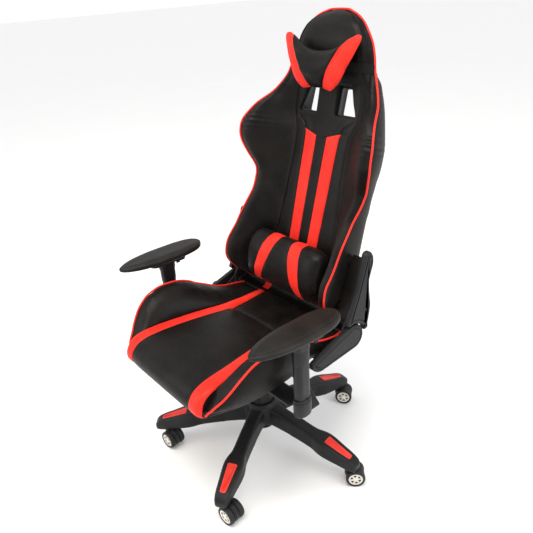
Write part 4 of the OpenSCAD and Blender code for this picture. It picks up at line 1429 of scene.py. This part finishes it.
def makeStrap():
    # a flat band round the headrest, level with the pillow
    low, high = strapLook["low"], strapLook["high"]
    rows = []
    for up in (low, low + 1, (low + high) / 2, high - 1, high):
        rear = seamAt(up)[2]
        line = [(0, centreFront(0, up) + 3)]
        for t in np.linspace(0, 1, 14):
            x, forward = wingFront(t, up)
            line.append((x + 1.2 * t, forward + 2.6))
        for t in np.linspace(0, 1, 14)[1:]:
            x, forward = wingRear(t, up)
            a = t * math.pi / 2
            line.append((x + 1.2 * math.cos(a), forward - 2.2 * math.sin(a)))
        line += [(line[-1][0] * 0.5, -rear - 4.4), (0, -rear - 5.2)]
        rows.append([atBack(x, f, up) for x, f in line + [(-x, f) for x, f in reversed(line[1:-1])]])
    strap = makePiece("head_strap_band", *rings(rows, caps=False), None, "webbing")
    addModifier(strap, "SOLIDIFY", thickness=strapLook["thick"] * mm, offset=0)
    applyAll(strap)
    settle(strap, "back", "strap_black", ["head_strap"])


makeStrap()
print("pillows made")


# lights: name, place, aim, size, power, tint
stage = {"floor": (0.9, 0.9, 0.9), "world": (1.0, 1.0, 1.0), "worldStrength": 1.0, "lights": [
    ("ceilingLight", (0.3, -0.9, 3.2), (0, 0, 0.5), (2.2, 1.4), 72, (1, 0.95, 0.88)),
    ("sideLight", (2.6, 0.8, 1.9), (0, 0, 0.7), (1.2, 1.8), 30, (0.95, 0.98, 1)),
    ("frontLight", (-1.4, -2.4, 1.9), (0, 0, 0.6), (1.4, 1.8), 22, (1, 1, 1))]}
bpy.context.scene.view_settings.view_transform = "Standard"
bpy.ops.mesh.primitive_plane_add(size=60)
floor = bpy.context.object
floor.name = "floor"
paint = Shader("floorPaint")
paint.finish(Base_Color=paint.blend(paint.noise(2.5, 3), stage["floor"],
                                    tuple(c * 1.03 for c in stage["floor"])), Roughness=0.8)
floor.data.materials.append(paint.material)

world = bpy.data.worlds.new("studio")
bpy.context.scene.world = world
world.use_nodes = True
sky = world.node_tree.nodes["Background"].inputs
sky["Color"].default_value = (*stage["world"], 1)
sky["Strength"].default_value = stage["worldStrength"]

for name, where, aim, size, power, tint in stage["lights"]:
    lamp = bpy.data.lights.new(name, "AREA")
    lamp.shape, lamp.size, lamp.size_y, lamp.energy, lamp.color = "RECTANGLE", size[0], size[1], power, tint
    holder = bpy.data.objects.new(name, lamp)
    holder.location = where
    holder.rotation_euler = (Vector(aim) - Vector(where)).to_track_quat("-Z", "Y").to_euler()
    bpy.context.scene.collection.objects.link(holder)


shot = {"azimuth": 50.8, "elevation": 26.9, "roll": -3.7, "distance": 1.5213, "target": (0.067, 0, 0.6489),
        "lens": 38.63}


def placeCamera():
    a, e, r = (math.radians(shot[k]) for k in ("azimuth", "elevation", "roll"))
    back = Vector((math.sin(a) * math.cos(e), -math.cos(a) * math.cos(e), math.sin(e)))
    right = (-back).cross(Vector((0, 0, 1))).normalized()
    up = right.cross(-back)
    sideways = math.cos(r) * right + math.sin(r) * up
    upright = -math.sin(r) * right + math.cos(r) * up
    lens = bpy.data.cameras.new("camera")
    lens.lens, lens.sensor_width = shot["lens"], 36
    camera = bpy.data.objects.new("camera", lens)
    turn = Matrix((sideways, upright, back)).transposed()
    camera.matrix_world = Matrix.Translation(Vector(shot["target"]) + back * shot["distance"]) @ turn.to_4x4()
    bpy.context.scene.collection.objects.link(camera)
    bpy.context.scene.camera = camera


placeCamera()
bpy.context.view_layer.update()
print("scene ready")
